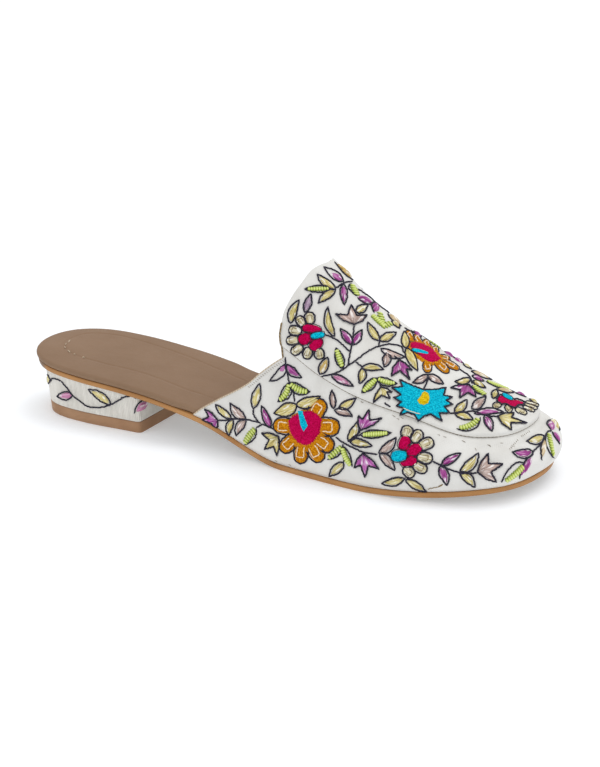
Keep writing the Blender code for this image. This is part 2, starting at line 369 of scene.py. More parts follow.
# The collar's edge: over the tongue to the notch, and down the wing to the sole
NOTCH_GIRTH = 0.645
NOTCH_STATION = 0.568
TONGUE_EDGE = table(
    ("girth", "station"),
    (0.000, 0.5894),
    (0.050, 0.5886),
    (0.100, 0.5856),
    (0.210, 0.5776),
    (0.310, 0.5720),
    (0.405, 0.5638),
    (0.510, 0.5566),
    (0.570, 0.557),
    (0.608, 0.562),
    (NOTCH_GIRTH, NOTCH_STATION),
)
WING_EDGE = table(
    ("girth", "station"),
    (NOTCH_GIRTH, NOTCH_STATION),
    (0.685, 0.552),
    (0.743, 0.529),
    (0.804, 0.505),
    (0.919, 0.441),
    (1.000, 0.388),
)

# The apron's seam, round the toe
APRON_SEAM = table(
    ("station", "girth"),
    (0.56, 0.610),
    (0.68, 0.610),
    (0.82, 0.567),
    (1.00, 0.576),
)

# How far the footbed's edge stands in from the sole's: past it at the heel, inside it at the wings
FOOTBED_EDGE = table(
    ("station", "inset"),
    (0.0, -INSOLE_OVERHANG),
    (84.0, -INSOLE_OVERHANG),
    (96.5, 0.9),
    (SOLE_LENGTH, 0.9),
)

# The groove round the footbed, by its distance from the edge
GROOVE = table(
    ("station", "outer", "inner"),
    (0.0, 11.4, 11.4),
    (4.0, 12.8, 9.7),
    (12.0, 14.0, 8.5),
    (24.0, 15.0, 8.0),
    (41.0, 16.0, 9.3),
    (57.0, 17.0, 10.6),
    (72.0, 16.0, 12.2),
    (84.0, 15.0, 13.4),
    (200.0, 15.0, 13.4),
    (SOLE_LENGTH, 12.0, 12.0),
)


def smooth(places, values, at):
    """A monotone cubic through the values, flat at each peak and hollow."""
    span = np.diff(places)
    slope = np.diff(values) / span
    before, after = slope[:-1], slope[1:]
    weight_before = 2 * span[1:] + span[:-1]
    weight_after = span[1:] + 2 * span[:-1]
    tangent = np.zeros_like(values)
    tangent[0], tangent[-1] = slope[0], slope[-1]
    same_way = before * after > 0
    mean = weight_before[same_way] / before[same_way] + weight_after[same_way] / after[same_way]
    tangent[1:-1][same_way] = (weight_before + weight_after)[same_way] / mean
    at = np.clip(at, places[0], places[-1])
    cell = np.clip(np.searchsorted(places, at, side="right") - 1, 0, len(span) - 1)
    step = (at - places[cell]) / span[cell]
    return (
        values[cell] * (1 + 2 * step) * (1 - step) ** 2
        + tangent[cell] * span[cell] * step * (1 - step) ** 2
        + values[cell + 1] * step**2 * (3 - 2 * step)
        + tangent[cell + 1] * span[cell] * step**2 * (step - 1)
    )


def turn(station):
    """Station as a half turn from heel to toe, in which the round ends of the sole are smooth."""
    return np.arccos(np.clip(1 - 2 * station / SOLE_LENGTH, -1, 1)) / math.pi


def station_at(turned):
    return SOLE_LENGTH * (1 - np.cos(math.pi * turned)) / 2


def cubic(before, start, end, after, part):
    """A smooth step from start to end, for parts from 0 to 1, that heads as its neighbours lie."""
    bend = 2 * before - 5 * start + 4 * end - after
    twist = 3 * (start - end) + after - before
    return start + part * (end - before + part * (bend + part * twist)) / 2


def half_width(station, side):
    """Distance from the middle line to the sole's edge, by a cubic through the plan's ring."""
    ring = np.append(-PLAN["outer"], PLAN["inner"][-2:0:-1])
    steps = turn(station) * (len(PLAN["angle"]) - 1)
    place = steps if side == "outer" else len(ring) - steps
    cell = np.floor(place).astype(int)
    neighbours = (ring[(cell + i) % len(ring)] for i in (-1, 0, 1, 2))
    return SIDE_SIGN[side] * BALL_WIDTH * cubic(*neighbours, place - cell)


def underside(station):
    return smooth(UNDERSIDE["station"], UNDERSIDE["height"], station)


def toe_share(station):
    """From none behind the toe to one at its tip."""
    share = np.clip((station - TUCK_START) / (SOLE_LENGTH - TUCK_START), 0, 1)
    return share**2 * (3 - 2 * share)


def toe_tuck(station):
    """How far the sole draws in under the toe."""
    return TOE_TUCK * toe_share(station)


def section(column, station):
    return smooth(SECTIONS["station"] * SOLE_LENGTH, SECTIONS[column], station)


def edge(stations, side, inset):
    """Points (x, y) of the sole's outline on one side, moved in from the edge by the inset."""
    sign = SIDE_SIGN[side]
    ahead = station_at(np.clip(turn(stations) + TURN_NUDGE, 0, 1))
    behind = station_at(np.clip(turn(stations) - TURN_NUDGE, 0, 1))
    run = np.stack([ahead - behind, sign * (half_width(ahead, side) - half_width(behind, side))], -1)
    run[stations <= 0] = (0.0, sign)
    run[stations >= SOLE_LENGTH] = (0.0, -sign)
    run /= np.linalg.norm(run, axis=1)[:, None]
    inwards = sign * np.stack([run[:, 1], -run[:, 0]], -1)
    outline = np.stack([stations, sign * half_width(stations, side)], -1)
    return outline + inwards * np.reshape(inset, (-1, 1))


def upper_point(station, girth):
    """A point on the outside of the upper's wall."""
    lift = (1 - np.abs(girth)) * math.pi / 2
    spread = np.cos(lift) ** (2 / section("across", station))
    rise = np.sin(lift) ** (2 / section("up", station))
    inset = FEATHER_INSET + toe_tuck(station)
    ahead = np.clip((station - FEATHER_TURN) / (SOLE_LENGTH - FEATHER_TURN), 0, 1)
    sideways = np.sqrt(1 - ahead**2)
    outer = inset * sideways - half_width(station, "outer")
    inner = half_width(station, "inner") - inset * sideways
    foot_y = np.where(girth < 0, outer, inner)
    foot_x = station - inset * ahead
    fan = np.clip((station - FAN_START) / (SOLE_LENGTH - FAN_START), 0, 1)
    ridge_x = station - (SOLE_LENGTH - FAN_END) * fan**2
    ridge_y = BALL_WIDTH * section("middle", ridge_x)
    reach = np.hypot(foot_x - ridge_x, foot_y - ridge_y)
    power = BULGE_POWER + (TOE_BULGE_POWER - BULGE_POWER) * toe_share(station)
    bulge = np.sin(math.pi * np.clip(rise / BULGE_REACH, 0, 1)) ** power
    swell = section("bulge", station) * bulge
    share = spread + swell / reach
    x = ridge_x + (foot_x - ridge_x) * share
    y = ridge_y + (foot_y - ridge_y) * share
    base = underside(station) + OUTSOLE_THICKNESS + GAP
    z = base + (INSTEP_HEIGHT * section("roof", x) - base) * rise
    return np.stack([x, y, z], -1)


def collar_station(girth):
    """Where the upper begins: the edge of its tongue and wings."""
    around = np.abs(girth)
    tongue = smooth(TONGUE_EDGE["girth"], TONGUE_EDGE["station"], around)
    wing = smooth(WING_EDGE["girth"], WING_EDGE["station"], around)
    return SOLE_LENGTH * np.where(around <= NOTCH_GIRTH, tongue, wing)


def seam_girth(station):
    return smooth(APRON_SEAM["station"] * SOLE_LENGTH, APRON_SEAM["girth"], station)


def upper_turned(turned, girth):
    """The wall's point by half turn, which runs on round the tip to the other side."""
    past = turned > 1
    return upper_point(station_at(np.where(past, 2 - turned, turned)), np.where(past, -girth, girth))


def unit(vectors):
    return vectors / np.linalg.norm(vectors, axis=-1, keepdims=True)


def upper_normal(station, girth):
    """The wall's outward direction, from small steps along and across it."""
    station, girth = np.broadcast_arrays(station, girth)
    turned = turn(station)
    beside = np.where(np.abs(girth) < GIRTH_NUDGE, GIRTH_NUDGE, girth)
    along = upper_turned(turned + TURN_NUDGE, beside) - upper_turned(turned - TURN_NUDGE, beside)
    more = np.minimum(beside + GIRTH_NUDGE, 1.0)
    less = np.maximum(beside - GIRTH_NUDGE, -1.0)
    across = upper_point(station, more) - upper_point(station, less)
    return unit(np.cross(along, across))


def to_frame(points):
    """Millimetres of the shoe as metres of the frame."""
    return np.asarray(points) * MM + np.array([HEEL_BACK, MIDDLE_LINE, 0.0])


def quads_of(rows, columns, first=0, flip=False):
    """Faces of a grid of points, row by row."""
    i, j = np.meshgrid(np.arange(rows - 1), np.arange(columns - 1), indexing="ij")
    corner = (first + i * columns + j).ravel()
    faces = np.stack([corner, corner + columns, corner + columns + 1, corner + 1], -1)
    return faces[:, ::-1] if flip else faces


def add_piece(name, points, faces, materials, uv, face_material=None, joined=True, sharp=None):
    """Makes one smooth piece from arrays in millimetres and lets it ride on the shoe."""
    mesh = bpy.data.meshes.new(name)
    mesh.from_pydata(to_frame(points).tolist(), [], faces)
    for material in materials:
        mesh.materials.append(material)
    if face_material is not None:
        mesh.polygons.foreach_set("material_index", np.asarray(face_material, np.int32))
    layer = mesh.uv_layers.new(name="cloth")
    corners = np.empty(len(mesh.loops), np.int32)
    mesh.loops.foreach_get("vertex_index", corners)
    layer.data.foreach_set("uv", np.asarray(uv, np.float32)[corners].ravel())
    if joined:
        join_points(mesh)
    mesh.shade_smooth()
    if sharp:
        mesh.set_sharp_from_angle(angle=math.radians(sharp))
    piece = bpy.data.objects.new(name, mesh)
    bpy.context.collection.objects.link(piece)
    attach(piece, "root")
    return piece


def join_points(mesh):
    """Joins points that coincide, as at the toe's tip, and turns all faces outwards."""
    data = bmesh.new()
    data.from_mesh(mesh)
    bmesh.ops.remove_doubles(data, verts=data.verts, dist=JOIN_DISTANCE)
    bmesh.ops.dissolve_degenerate(data, edges=data.edges, dist=JOIN_DISTANCE)
    bmesh.ops.recalc_face_normals(data, faces=data.faces)
    data.to_mesh(mesh)
    data.free()


def stands_for(node):
    """Hides the solid that a piece is shown for."""
    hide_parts(node)


# Materials

def srgb(colour):
    """An sRGB colour of 0 to 255 as linear RGBA."""
    shares = [channel / BRIGHTEST for channel in colour]
    return (*Color(shares).from_srgb_to_scene_linear(), 1.0)


class Graph:
    """A material's nodes, with short calls for the few kinds that are used."""

    def __init__(self, name, constants):
        self.material = bpy.data.materials.new(name)
        self.material.use_nodes = True
        self.tree = self.material.node_tree
        self.shader = self.tree.nodes["Principled BSDF"]
        for socket, value in constants.items():
            self.shader.inputs[socket].default_value = value

    def node(self, kind, inputs, **settings):
        made = self.tree.nodes.new(kind)
        for key, value in settings.items():
            setattr(made, key, value)
        for socket, value in inputs.items():
            if isinstance(value, bpy.types.NodeSocket):
                self.tree.links.new(value, made.inputs[socket])
            else:
                made.inputs[socket].default_value = value
        return made

    def places(self, kind, scale):
        source = self.node("ShaderNodeTexCoord", {}).outputs[kind]
        return self.node("ShaderNodeMapping", {"Vector": source, "Scale": scale}).outputs["Vector"]

    def solid(self):
        """Places in the solid, in millimetres."""
        return self.places("Object", (1 / MM, 1 / MM, 1 / MM))

    def laid(self, along=1.0, across=1.0):
        """Places along and across the cloth or thread, in millimetres times the two scales."""
        return self.places("UV", (along, across, 1.0))

    def noise(self, where, scale, detail=3.0):
        inputs = {"Vector": where, "Scale": scale, "Detail": detail}
        return self.node("ShaderNodeTexNoise", inputs).outputs["Fac"]

    def waves(self, where, pitch, direction, distortion=0.0):
        """Ridges at a pitch in millimetres."""
        inputs = {"Vector": where, "Scale": WAVE_SCALE / pitch, "Distortion": distortion}
        made = self.node("ShaderNodeTexWave", inputs, bands_direction=direction)
        return made.outputs["Fac"]

    def pebbles(self, where, size):
        return self.node("ShaderNodeTexVoronoi", {"Vector": where, "Scale": 1 / size}).outputs["Distance"]

    def ramp(self, value, *stops):
        made = self.node("ShaderNodeValToRGB", {"Fac": value})
        elements = made.color_ramp.elements
        while len(elements) < len(stops):
            elements.new(position=0.5)
        for element, (position, colour) in zip(elements, stops):
            element.position = position
            element.color = srgb(colour)
        return made.outputs["Color"]

    def share(self, value, low=0.0, high=1.0, least=0.0, most=1.0):
        """A value taken from between two limits to between the least and the most."""
        inputs = {"Value": value, "From Min": low, "From Max": high, "To Min": least, "To Max": most}
        return self.node("ShaderNodeMapRange", inputs).outputs["Result"]

    def mix(self, factor, first, second):
        """The first colour, with more of the second as the factor grows."""
        inputs = {MIX_FACTOR: factor, MIX_FIRST: first, MIX_SECOND: second}
        return self.node("ShaderNodeMix", inputs, data_type="RGBA").outputs[MIX_RESULT]

    def colour(self, value):
        self.tree.links.new(value, self.shader.inputs["Base Color"])

    def bump(self, height, depth):
        """A relief of the given depth in millimetres, over any that is there already."""
        made = self.node("ShaderNodeBump", {"Height": height, "Distance": depth * MM})
        normal = self.shader.inputs["Normal"]
        if normal.is_linked:
            self.tree.links.new(normal.links[0].from_socket, made.inputs["Normal"])
        self.tree.links.new(made.outputs["Normal"], normal)

    def rough(self, value, least, most):
        self.tree.links.new(self.share(value, least=least, most=most), self.shader.inputs["Roughness"])


def cloth(name, colour, shade, rib_pitch=None):
    """Plain-woven cloth. With a rib pitch its cords stand up and down the piece, with painted shade in the
    grooves between them.
    """
    graph = Graph(name, {"Roughness": 0.85, "Sheen Weight": 0.1, "Specular IOR Level": 0.2})
    base = graph.ramp(graph.noise(graph.solid(), scale=0.08, detail=4.0), (0.3, shade), (0.65, colour))
    flecks = graph.noise(graph.laid(along=0.6, across=2.6), scale=1.0, detail=2.0)
    base = graph.mix(graph.share(flecks, low=0.62, high=0.75, most=0.4), base, srgb(shade))
    if rib_pitch:
        cords = graph.waves(graph.laid(), rib_pitch, "X", distortion=0.4)
        # painted shade in the grooves between the rib cords
        base = graph.mix(graph.share(cords, low=0.5, high=0.0, most=0.7), base, srgb(shade))
        graph.bump(cords, depth=0.2)
    for direction in ("X", "Y"):
        graph.bump(graph.waves(graph.laid(), pitch=0.7, direction=direction, distortion=0.5), depth=0.03)
    graph.bump(graph.noise(graph.solid(), scale=0.3, detail=2.0), depth=0.1)
    graph.colour(base)
    return graph.material


def leather(name, colour, shade, grain, roughness, back=None):
    """Leather with a pebbled grain and slow changes of tone. Its back end may be darkened to another colour
    as painted shade.
    """
    graph = Graph(name, {"Roughness": roughness, "Specular IOR Level": 0.15})
    base = graph.ramp(graph.noise(graph.solid(), scale=0.05, detail=5.0), (0.3, shade), (0.7, colour))
    # painted shade: behind these stations the colour turns to the back colour
    if back:
        along = graph.node("ShaderNodeSeparateXYZ", {"Vector": graph.solid()}).outputs["X"]
        first, last = (HEEL_BACK / MM + station for station in BACK_SHADE_STATIONS)
        base = graph.mix(graph.share(along, low=last, high=first), base, srgb(back))
    graph.colour(base)
    graph.bump(graph.pebbles(graph.solid(), size=grain), depth=0.05)
    graph.bump(graph.noise(graph.solid(), scale=0.8, detail=4.0), depth=0.06)
    wear = graph.noise(graph.solid(), scale=0.3)
    graph.rough(wear, least=roughness - SMOOTHER, most=roughness + ROUGHER)
    return graph.material


def strands(name, dark, colour, light, glint, metal=0.0):
    """Satin stitches that lie along the fill, in streaks of their own tone mixed with painted highlight and
    painted shade, and a few painted glints.
    """
    graph = Graph(name, {"Roughness": 0.42, "Metallic": metal, "Specular IOR Level": 0.25})
    tone_and_sheen_streaks = graph.noise(graph.laid(along=0.22, across=1.7), scale=1.0, detail=2.0)
    # the streaks are partly the thread's own tone and partly painted highlight and painted shade
    base = graph.ramp(tone_and_sheen_streaks, (0.32, dark), (0.5, colour), (0.66, light))
    # painted glints: small spots of painted highlight
    glints = graph.noise(graph.laid(along=0.3, across=0.9), scale=0.9, detail=1.0)
    graph.colour(graph.mix(graph.share(glints, low=0.56, high=0.66), base, srgb(glint)))
    graph.bump(graph.waves(graph.laid(), pitch=0.42, direction="Y", distortion=0.6), depth=0.12)
    graph.rough(tone_and_sheen_streaks, least=0.3, most=0.55)
    return graph.material


def silk(name, dark, colour, light):
    """Rows of fine chain stitch that look like grains from afar."""
    graph = Graph(name, {"Roughness": 0.7, "Specular IOR Level": 0.04})
    grains = graph.noise(graph.solid(), scale=1.7, detail=2.0)
    graph.colour(graph.ramp(grains, (0.32, dark), (0.5, colour), (0.68, light)))
    graph.bump(graph.pebbles(graph.solid(), size=0.8), depth=0.12)
    graph.bump(graph.noise(graph.solid(), scale=2.2), depth=0.1)
    return graph.material


def beads(name, dark, colour, light):
    """Glossy thread wound into beads, darker at each bead's foot with painted shade and lighter on its top
    with a painted highlight.
    """
    graph = Graph(name, {"Roughness": 0.5, "Specular IOR Level": 0.2})
    crown = graph.node("ShaderNodeSeparateXYZ", {"Vector": graph.laid()}).outputs["Y"]
    # by height up the bead: painted shade at its foot, a painted highlight on its top
    base = graph.ramp(crown, (0.2, dark), (0.55, colour), (0.95, light))
    blotches = graph.noise(graph.solid(), scale=0.6, detail=2.0)
    graph.colour(graph.mix(graph.share(blotches, low=0.55, high=0.75, most=0.5), base, srgb(colour)))
    graph.bump(graph.waves(graph.laid(), pitch=0.3, direction="X"), depth=0.04)
    return graph.material


def cord(name, colour, light):
    """A twisted cord: its plies run slantwise round it, lighter on their crests with painted sheen."""
    graph = Graph(name, {"Roughness": 0.65, "Specular IOR Level": 0.25})
    plies = graph.waves(graph.laid(across=0.8), pitch=0.8, direction="DIAGONAL", distortion=0.3)
    # painted sheen: the crests of the plies are lighter
    graph.colour(graph.ramp(plies, (0.2, colour), (0.9, light)))
    graph.bump(plies, depth=0.08)
    return graph.material


UPPER_CLOTH = cloth("upper_cloth_weave", (230, 229, 225), (218, 216, 211))
# its ribs carry painted shade in the grooves between them
HEEL_CLOTH = cloth("heel_cloth_rib", (244, 241, 233), (212, 208, 199), rib_pitch=0.9)
LINING = leather("lining_leather", (205, 180, 150), (190, 165, 135), 0.8, 0.6)
FOOTBED = leather("footbed_grain", (144, 117, 94), (137, 110, 87), 0.7, 0.6)
COLLAR_EDGE = leather("collar_edge", (172, 150, 126), (150, 128, 104), 0.6, 0.7)
# the back colour is painted shade on the heel's end of the sole's edge, which faces away from the light
SOLE_EDGE = leather("sole_edge_tan", (192, 142, 90), (168, 120, 74), 0.6, 0.5, back=(136, 110, 88))
SOLE_BOTTOM = leather("sole_bottom", (168, 160, 150), (148, 140, 130), 0.8, 0.8)
TOP_PIECE = leather("top_piece_brown", (176, 139, 108), (156, 118, 88), 0.6, 0.55)

THREADS = {
    # strands: dark, colour, light, glint, share of metal; dark and light are partly painted shade and painted
    # highlight, glint is a painted glint
    "gold": strands("thread_gold", (172, 152, 86), (224, 208, 132), (245, 236, 186), (255, 252, 238)),
    "cream": strands("thread_cream", (188, 174, 124), (224, 215, 178), (246, 242, 224), (255, 253, 245)),
    "straw": strands("thread_straw", (196, 176, 102), (230, 215, 150), (246, 238, 194), (255, 252, 235), 0.2),
    "magenta": strands("thread_magenta", (128, 40, 112), (172, 70, 152), (210, 142, 194), (252, 238, 248)),
    "orchid": strands("thread_orchid", (148, 58, 136), (192, 94, 178), (224, 164, 214), (252, 240, 250)),
    "rose": strands("thread_rose", (176, 96, 140), (216, 140, 182), (238, 192, 218), (255, 242, 248)),
    "dusty": strands("thread_dusty", (158, 130, 122), (202, 176, 166), (230, 212, 204), (252, 244, 240), 0.1),
    "lilac": strands("thread_lilac", (150, 118, 150), (194, 168, 192), (226, 208, 224), (252, 246, 252), 0.1),
    "peach": strands("thread_peach", (184, 156, 114), (220, 196, 152), (240, 224, 192), (255, 248, 234), 0.1),
    # beads: dark is painted shade at each bead's foot, light is a painted highlight on its top
    "lime": beads("beads_lime", (132, 150, 58), (196, 211, 104), (230, 240, 162)),
    "orange": silk("silk_orange", (160, 92, 4), (196, 124, 8), (226, 160, 36)),
    "crimson": silk("silk_crimson", (152, 0, 52), (188, 0, 72), (204, 12, 90)),
    "cyan": silk("silk_cyan", (0, 132, 164), (0, 180, 210), (30, 208, 228)),
    "yellow": silk("silk_yellow", (186, 148, 0), (218, 186, 8), (236, 210, 50)),
    # cords: the second colour is painted sheen on the crests of the plies
    "cord": cord("cord_navy", (26, 24, 38), (52, 48, 66)),
    "pale": cord("cord_pale", (234, 206, 164), (250, 232, 204)),
    "grey": cord("thread_grey", (124, 114, 102), (164, 155, 142)),
    "linen": cord("thread_linen", (190, 172, 148), (222, 206, 182)),
    "amber": strands("thread_amber", (166, 132, 60), (208, 174, 96), (232, 208, 148), (255, 250, 236)),
    "bronze": cord("thread_bronze", (116, 96, 66), (156, 134, 98)),
}


# Upper

def rows_to_toe(girth, rows):
    """Stations from the collar to the tip, closer together towards the tip."""
    along = np.sin(np.linspace(0, math.pi / 2, rows + 1))[:, None]
    start = collar_station(girth)[None, :]
    return start + (SOLE_LENGTH - start) * along


def apron_lift(station, girth):
    """How far the outer face of the apron stands above the wall, round at its seam."""
    seam = seam_girth(station)
    span = upper_point(station, seam - GIRTH_NUDGE) - upper_point(station, seam + GIRTH_NUDGE)
    inside = (seam - np.abs(girth)) * np.linalg.norm(span, axis=-1) / (2 * GIRTH_NUDGE)
    rolled = np.clip(inside / APRON_ROLL, 0, 1)
    puff = 1 + APRON_TOE_PUFF * toe_share(station)
    crown = APRON_EDGE + (APRON_LIFT * puff - APRON_EDGE) * np.sqrt(1 - (1 - rolled) ** 2)
    groove = SEAM_DEPTH * np.exp(-((inside / SEAM_WIDTH) ** 2))
    return np.where(inside > 0, crown, 0.0) - groove


def fold_depth(station, girth):
    """Soft troughs and ridges of the cloth."""
    total = np.zeros(np.broadcast(station, girth).shape)
    for place, around, length, width, slant, depth in FOLDS:
        along = (station - place) / length
        across = (girth - around) * GIRTH_LENGTH - slant * (station - place)
        total = total + depth * np.exp(-(along**2) - (across / width) ** 2)
    return total


def across_length(points):
    """Distance along each row of a grid, from its middle column, as a cloth coordinate."""
    steps = np.linalg.norm(np.diff(points, axis=1), axis=-1)
    run = np.concatenate([np.zeros((len(points), 1)), np.cumsum(steps, axis=1)], axis=1)
    middle = run.shape[1] // 2
    return run - run[:, middle : middle + 1]


def rim_rows(outer, inner):
    """Rows of a rounded edge from the first row of the inner wall to that of the outer wall."""
    middle = (outer[0] + inner[0]) / 2
    half = (outer[0] - inner[0]) / 2
    away = unit(np.cross(half, np.gradient(middle, axis=0)))
    away *= np.sign(np.sum(away * (middle - outer[ROW_PAST_RIM]), axis=-1, keepdims=True))
    reach = away * np.linalg.norm(half, axis=-1, keepdims=True) * RIM_REACH
    angles = np.linspace(math.pi, 0, RIM_STEPS + 2)[1:-1]
    return np.array([middle + half * math.cos(angle) + reach * math.sin(angle) for angle in angles])


def add_wall(name, outer, inner, stations, materials):
    """A closed wall from an outer and an inner grid, whose last rows meet at the toe's tip."""
    rows, columns = outer.shape[:2]
    points = np.concatenate([inner[::-1], rim_rows(outer, inner), outer])
    total = len(points)
    faces = quads_of(total, columns, flip=True).tolist()
    row = np.repeat(np.arange(total - 1), columns - 1)
    outside, inside, rim = 0, 1, 2
    kinds = np.where(row < rows - 1, inside, np.where(row < rows + RIM_STEPS, rim, outside)).tolist()
    for column in (0, columns - 1):
        for i in range(rows - 1):
            j = total - 1 - i
            foot = [i, i + 1, j - 1, j]
            faces.append([place * columns + column for place in foot])
            kinds.append(outside)
    length = np.concatenate([stations[::-1], np.repeat(stations[:1], RIM_STEPS, axis=0), stations])
    uv = np.stack([length, across_length(points)], -1).reshape(-1, 2)
    return add_piece(name, points.reshape(-1, 3), faces, materials, uv, kinds)


def upper_grid():
    """Stations and girths of the upper's grid, the same on both sides."""
    tongue = np.linspace(0, NOTCH_GIRTH, TONGUE_COLUMNS + 1)
    wing = np.linspace(NOTCH_GIRTH, 1, WING_COLUMNS + 1)
    half = np.append(tongue, wing[1:])
    girth = np.append(-half[:0:-1], half)
    stations = rows_to_toe(girth, UPPER_ROWS)
    return stations, np.broadcast_to(girth, stations.shape)


def make_upper():
    stations, girths = upper_grid()
    normal = upper_normal(stations, girths)
    wall = upper_point(stations, girths)
    under_apron = np.abs(girths) < seam_girth(stations)
    relief = np.where(under_apron, 0.0, apron_lift(stations, girths)) + fold_depth(stations, girths)
    outer = wall + normal * relief[..., None]
    inner = wall - normal * WALL
    inner[:, (0, -1), 2] = outer[:, (0, -1), 2]
    piece = add_wall("upper_shell", outer, inner, stations, [UPPER_CLOTH, LINING, COLLAR_EDGE])
    stands_for("upper")


def make_apron():
    share = np.sin(np.linspace(-math.pi / 2, math.pi / 2, APRON_COLUMNS + 1))
    stations = rows_to_toe(share * APRON_SEAM["girth"][0], APRON_ROWS)
    girths = share[None, :] * seam_girth(stations)
    normal = upper_normal(stations, girths)
    wall = upper_point(stations, girths) + normal * fold_depth(stations, girths)[..., None]
    outer = wall + normal * np.maximum(apron_lift(stations, girths), APRON_EDGE)[..., None]
    inner = wall + normal * APRON_EDGE / 2
    piece = add_wall("apron_panel", outer, inner, stations, [UPPER_CLOTH] * 3)
    stands_for("apron")


# Sole, footbed and heel

def add_rings(name, rings, materials, sharp, kinds=None):
    """A closed solid through rings of points, with flat caps on ends that have any width.

    Kinds gives a material for each step round the rings.
    """
    levels, count = rings.shape[:2]
    closed = np.concatenate([rings, rings[:, :1]], axis=1)
    faces = quads_of(levels, count + 1).tolist()
    face_material = np.tile(np.zeros(count, int) if kinds is None else kinds, levels - 1).tolist()
    for level in (0, levels - 1):
        if np.ptp(rings[level, :, 1]) > GAP:
            faces.append([level * (count + 1) + i for i in range(count)])
            face_material.append(0)
    steps = np.linalg.norm(np.diff(closed[levels // 2], axis=0), axis=-1)
    run = np.concatenate([[0.0], np.cumsum(steps)])
    uv = np.stack(np.broadcast_arrays(run[None, :], closed[..., 2]), -1).reshape(-1, 2)
    return add_piece(name, closed.reshape(-1, 3), faces, materials, uv, face_material, sharp=sharp)


def slab_rings(stations, levels):
    """Rings across the sole: each level gives an outer and an inner inset and a height at every station."""
    outer = [np.column_stack([edge(stations, "outer", inset), height]) for inset, _, height in levels]
    inner = [np.column_stack([edge(stations, "inner", inset), height]) for _, inset, height in levels]
    return np.stack(outer + inner[::-1], axis=1)


def make_outsole():
    stations = station_at(np.linspace(0, 1, SOLE_ROWS + 1))
    low = underside(stations)
    tuck = toe_tuck(stations)
    levels = [(tuck + inset, tuck + inset, low + OUTSOLE_THICKNESS * share) for inset, share in SOLE_PROFILE]
    rings = slab_rings(stations, levels)
    kinds = np.zeros(rings.shape[1], int)
    kinds[SOLE_UNDERSIDE] = 1
    piece = add_rings("sole", rings, [SOLE_EDGE, SOLE_BOTTOM], SOLE_SHARP, kinds)
    stands_for("outsole")


def footbed_inset(stations):
    """From the open edge over the heel to inside the wall of the upper."""
    start, end = INSOLE_NARROWS
    narrowing = np.clip((stations - start) / (end - start), 0, 1)
    inside = FEATHER_INSET + WALL + FOOTBED_CLEARANCE + toe_tuck(stations)
    open_edge = smooth(FOOTBED_EDGE["station"], FOOTBED_EDGE["inset"], stations)
    return open_edge + (inside - open_edge) * narrowing


def groove_insets(stations):
    """How far the groove's outer and inner lines stand in from the sole's edge."""
    inset = footbed_inset(stations)
    return [inset + smooth(GROOVE["station"], GROOVE[side], stations) for side in ("outer", "inner")]


def make_footbed():
    turns = np.linspace(0, 1, SOLE_ROWS + 1)
    stations = np.unique(np.append(station_at(turns), np.linspace(*INSOLE_NARROWS, NARROWING_STEPS)))
    inset = footbed_inset(stations)
    low = underside(stations) + OUTSOLE_THICKNESS + GAP
    outer, inner = groove_insets(stations)
    levels = [(outer + FOOTBED_FLAT, inner + FOOTBED_FLAT, low)]
    for angle in np.radians(np.linspace(*FOOTBED_EDGE_ANGLES, FOOTBED_EDGE_STEPS)):
        rounding = inset + FOOTBED_ROUNDING * (1 - math.cos(angle))
        levels.append((rounding, rounding, low + INSOLE_THICKNESS * (1 + math.sin(angle)) / 2))
    for widths in np.linspace(-GROOVE_REACH, GROOVE_REACH, GROOVE_LEVELS):
        top = low + INSOLE_THICKNESS - GROOVE_DEPTH * math.exp(-(widths**2))
        levels.append((outer + widths * GROOVE_WIDTH, inner + widths * GROOVE_WIDTH, top))
    levels.append((outer + FOOTBED_FLAT, inner + FOOTBED_FLAT, low + INSOLE_THICKNESS))
    piece = add_rings("footbed", slab_rings(stations, levels), [FOOTBED], SOLE_SHARP)
    stands_for("insole")


def heel_stations():
    back = station_at(np.linspace(0, turn(np.array(HEEL_BREAST - HEEL_CORNER)), HEEL_STEPS))
    angles = np.linspace(0, math.pi / 2, HEEL_CORNER_STEPS + 1)[1:]
    return np.append(back, HEEL_BREAST - HEEL_CORNER * (1 - np.sin(angles)))


def heel_ring(height, taper):
    """A ring round the heel, from the breast round the back, at a height for each x."""
    stations = heel_stations()
    past_corner = np.clip(stations - (HEEL_BREAST - HEEL_CORNER), 0, HEEL_CORNER)
    rounding = HEEL_CORNER - np.sqrt(HEEL_CORNER**2 - past_corner**2)
    inset = smooth(HEEL_INSET["station"], HEEL_INSET["inset"], stations) + rounding + taper
    outer = edge(stations, "outer", inset)
    inner = edge(stations, "inner", inset)
    breast = np.linspace(inner[-1], outer[-1], BREAST_STEPS + 1)[1:-1]
    plan = np.concatenate([outer[::-1], inner[1:], breast])
    return np.column_stack([plan, height(plan[:, 0])])


def heel_rings():
    """The covered heel, level by level from the top piece to the sole."""
    low = TOP_PIECE_HEIGHT + GAP
    foot_taper = HEEL_TAPER * (1 - low / HEEL_HEIGHT)
    rings = []
    for share in np.linspace(0, 1, HEEL_LEVELS):
        rings.append(heel_ring(lambda x: low + (underside(x) - GAP - low) * share, foot_taper * (1 - share)))
    return np.array(rings)


def make_heel():
    cover = add_rings("heel_cover", heel_rings(), [HEEL_CLOTH], HEEL_SHARP)
    stands_for("heel_block")
    rings = []
    for height, softened in TOP_PIECE_PROFILE:
        taper = HEEL_TAPER * (1 - height / HEEL_HEIGHT) + softened
        rings.append(heel_ring(lambda x: np.full_like(x, height), taper))
    lift = add_rings("top_piece", np.array(rings), [TOP_PIECE], HEEL_SHARP)
    stands_for("heel_top_piece")


# Places in the photograph, laid on the pieces that carry the embroidery

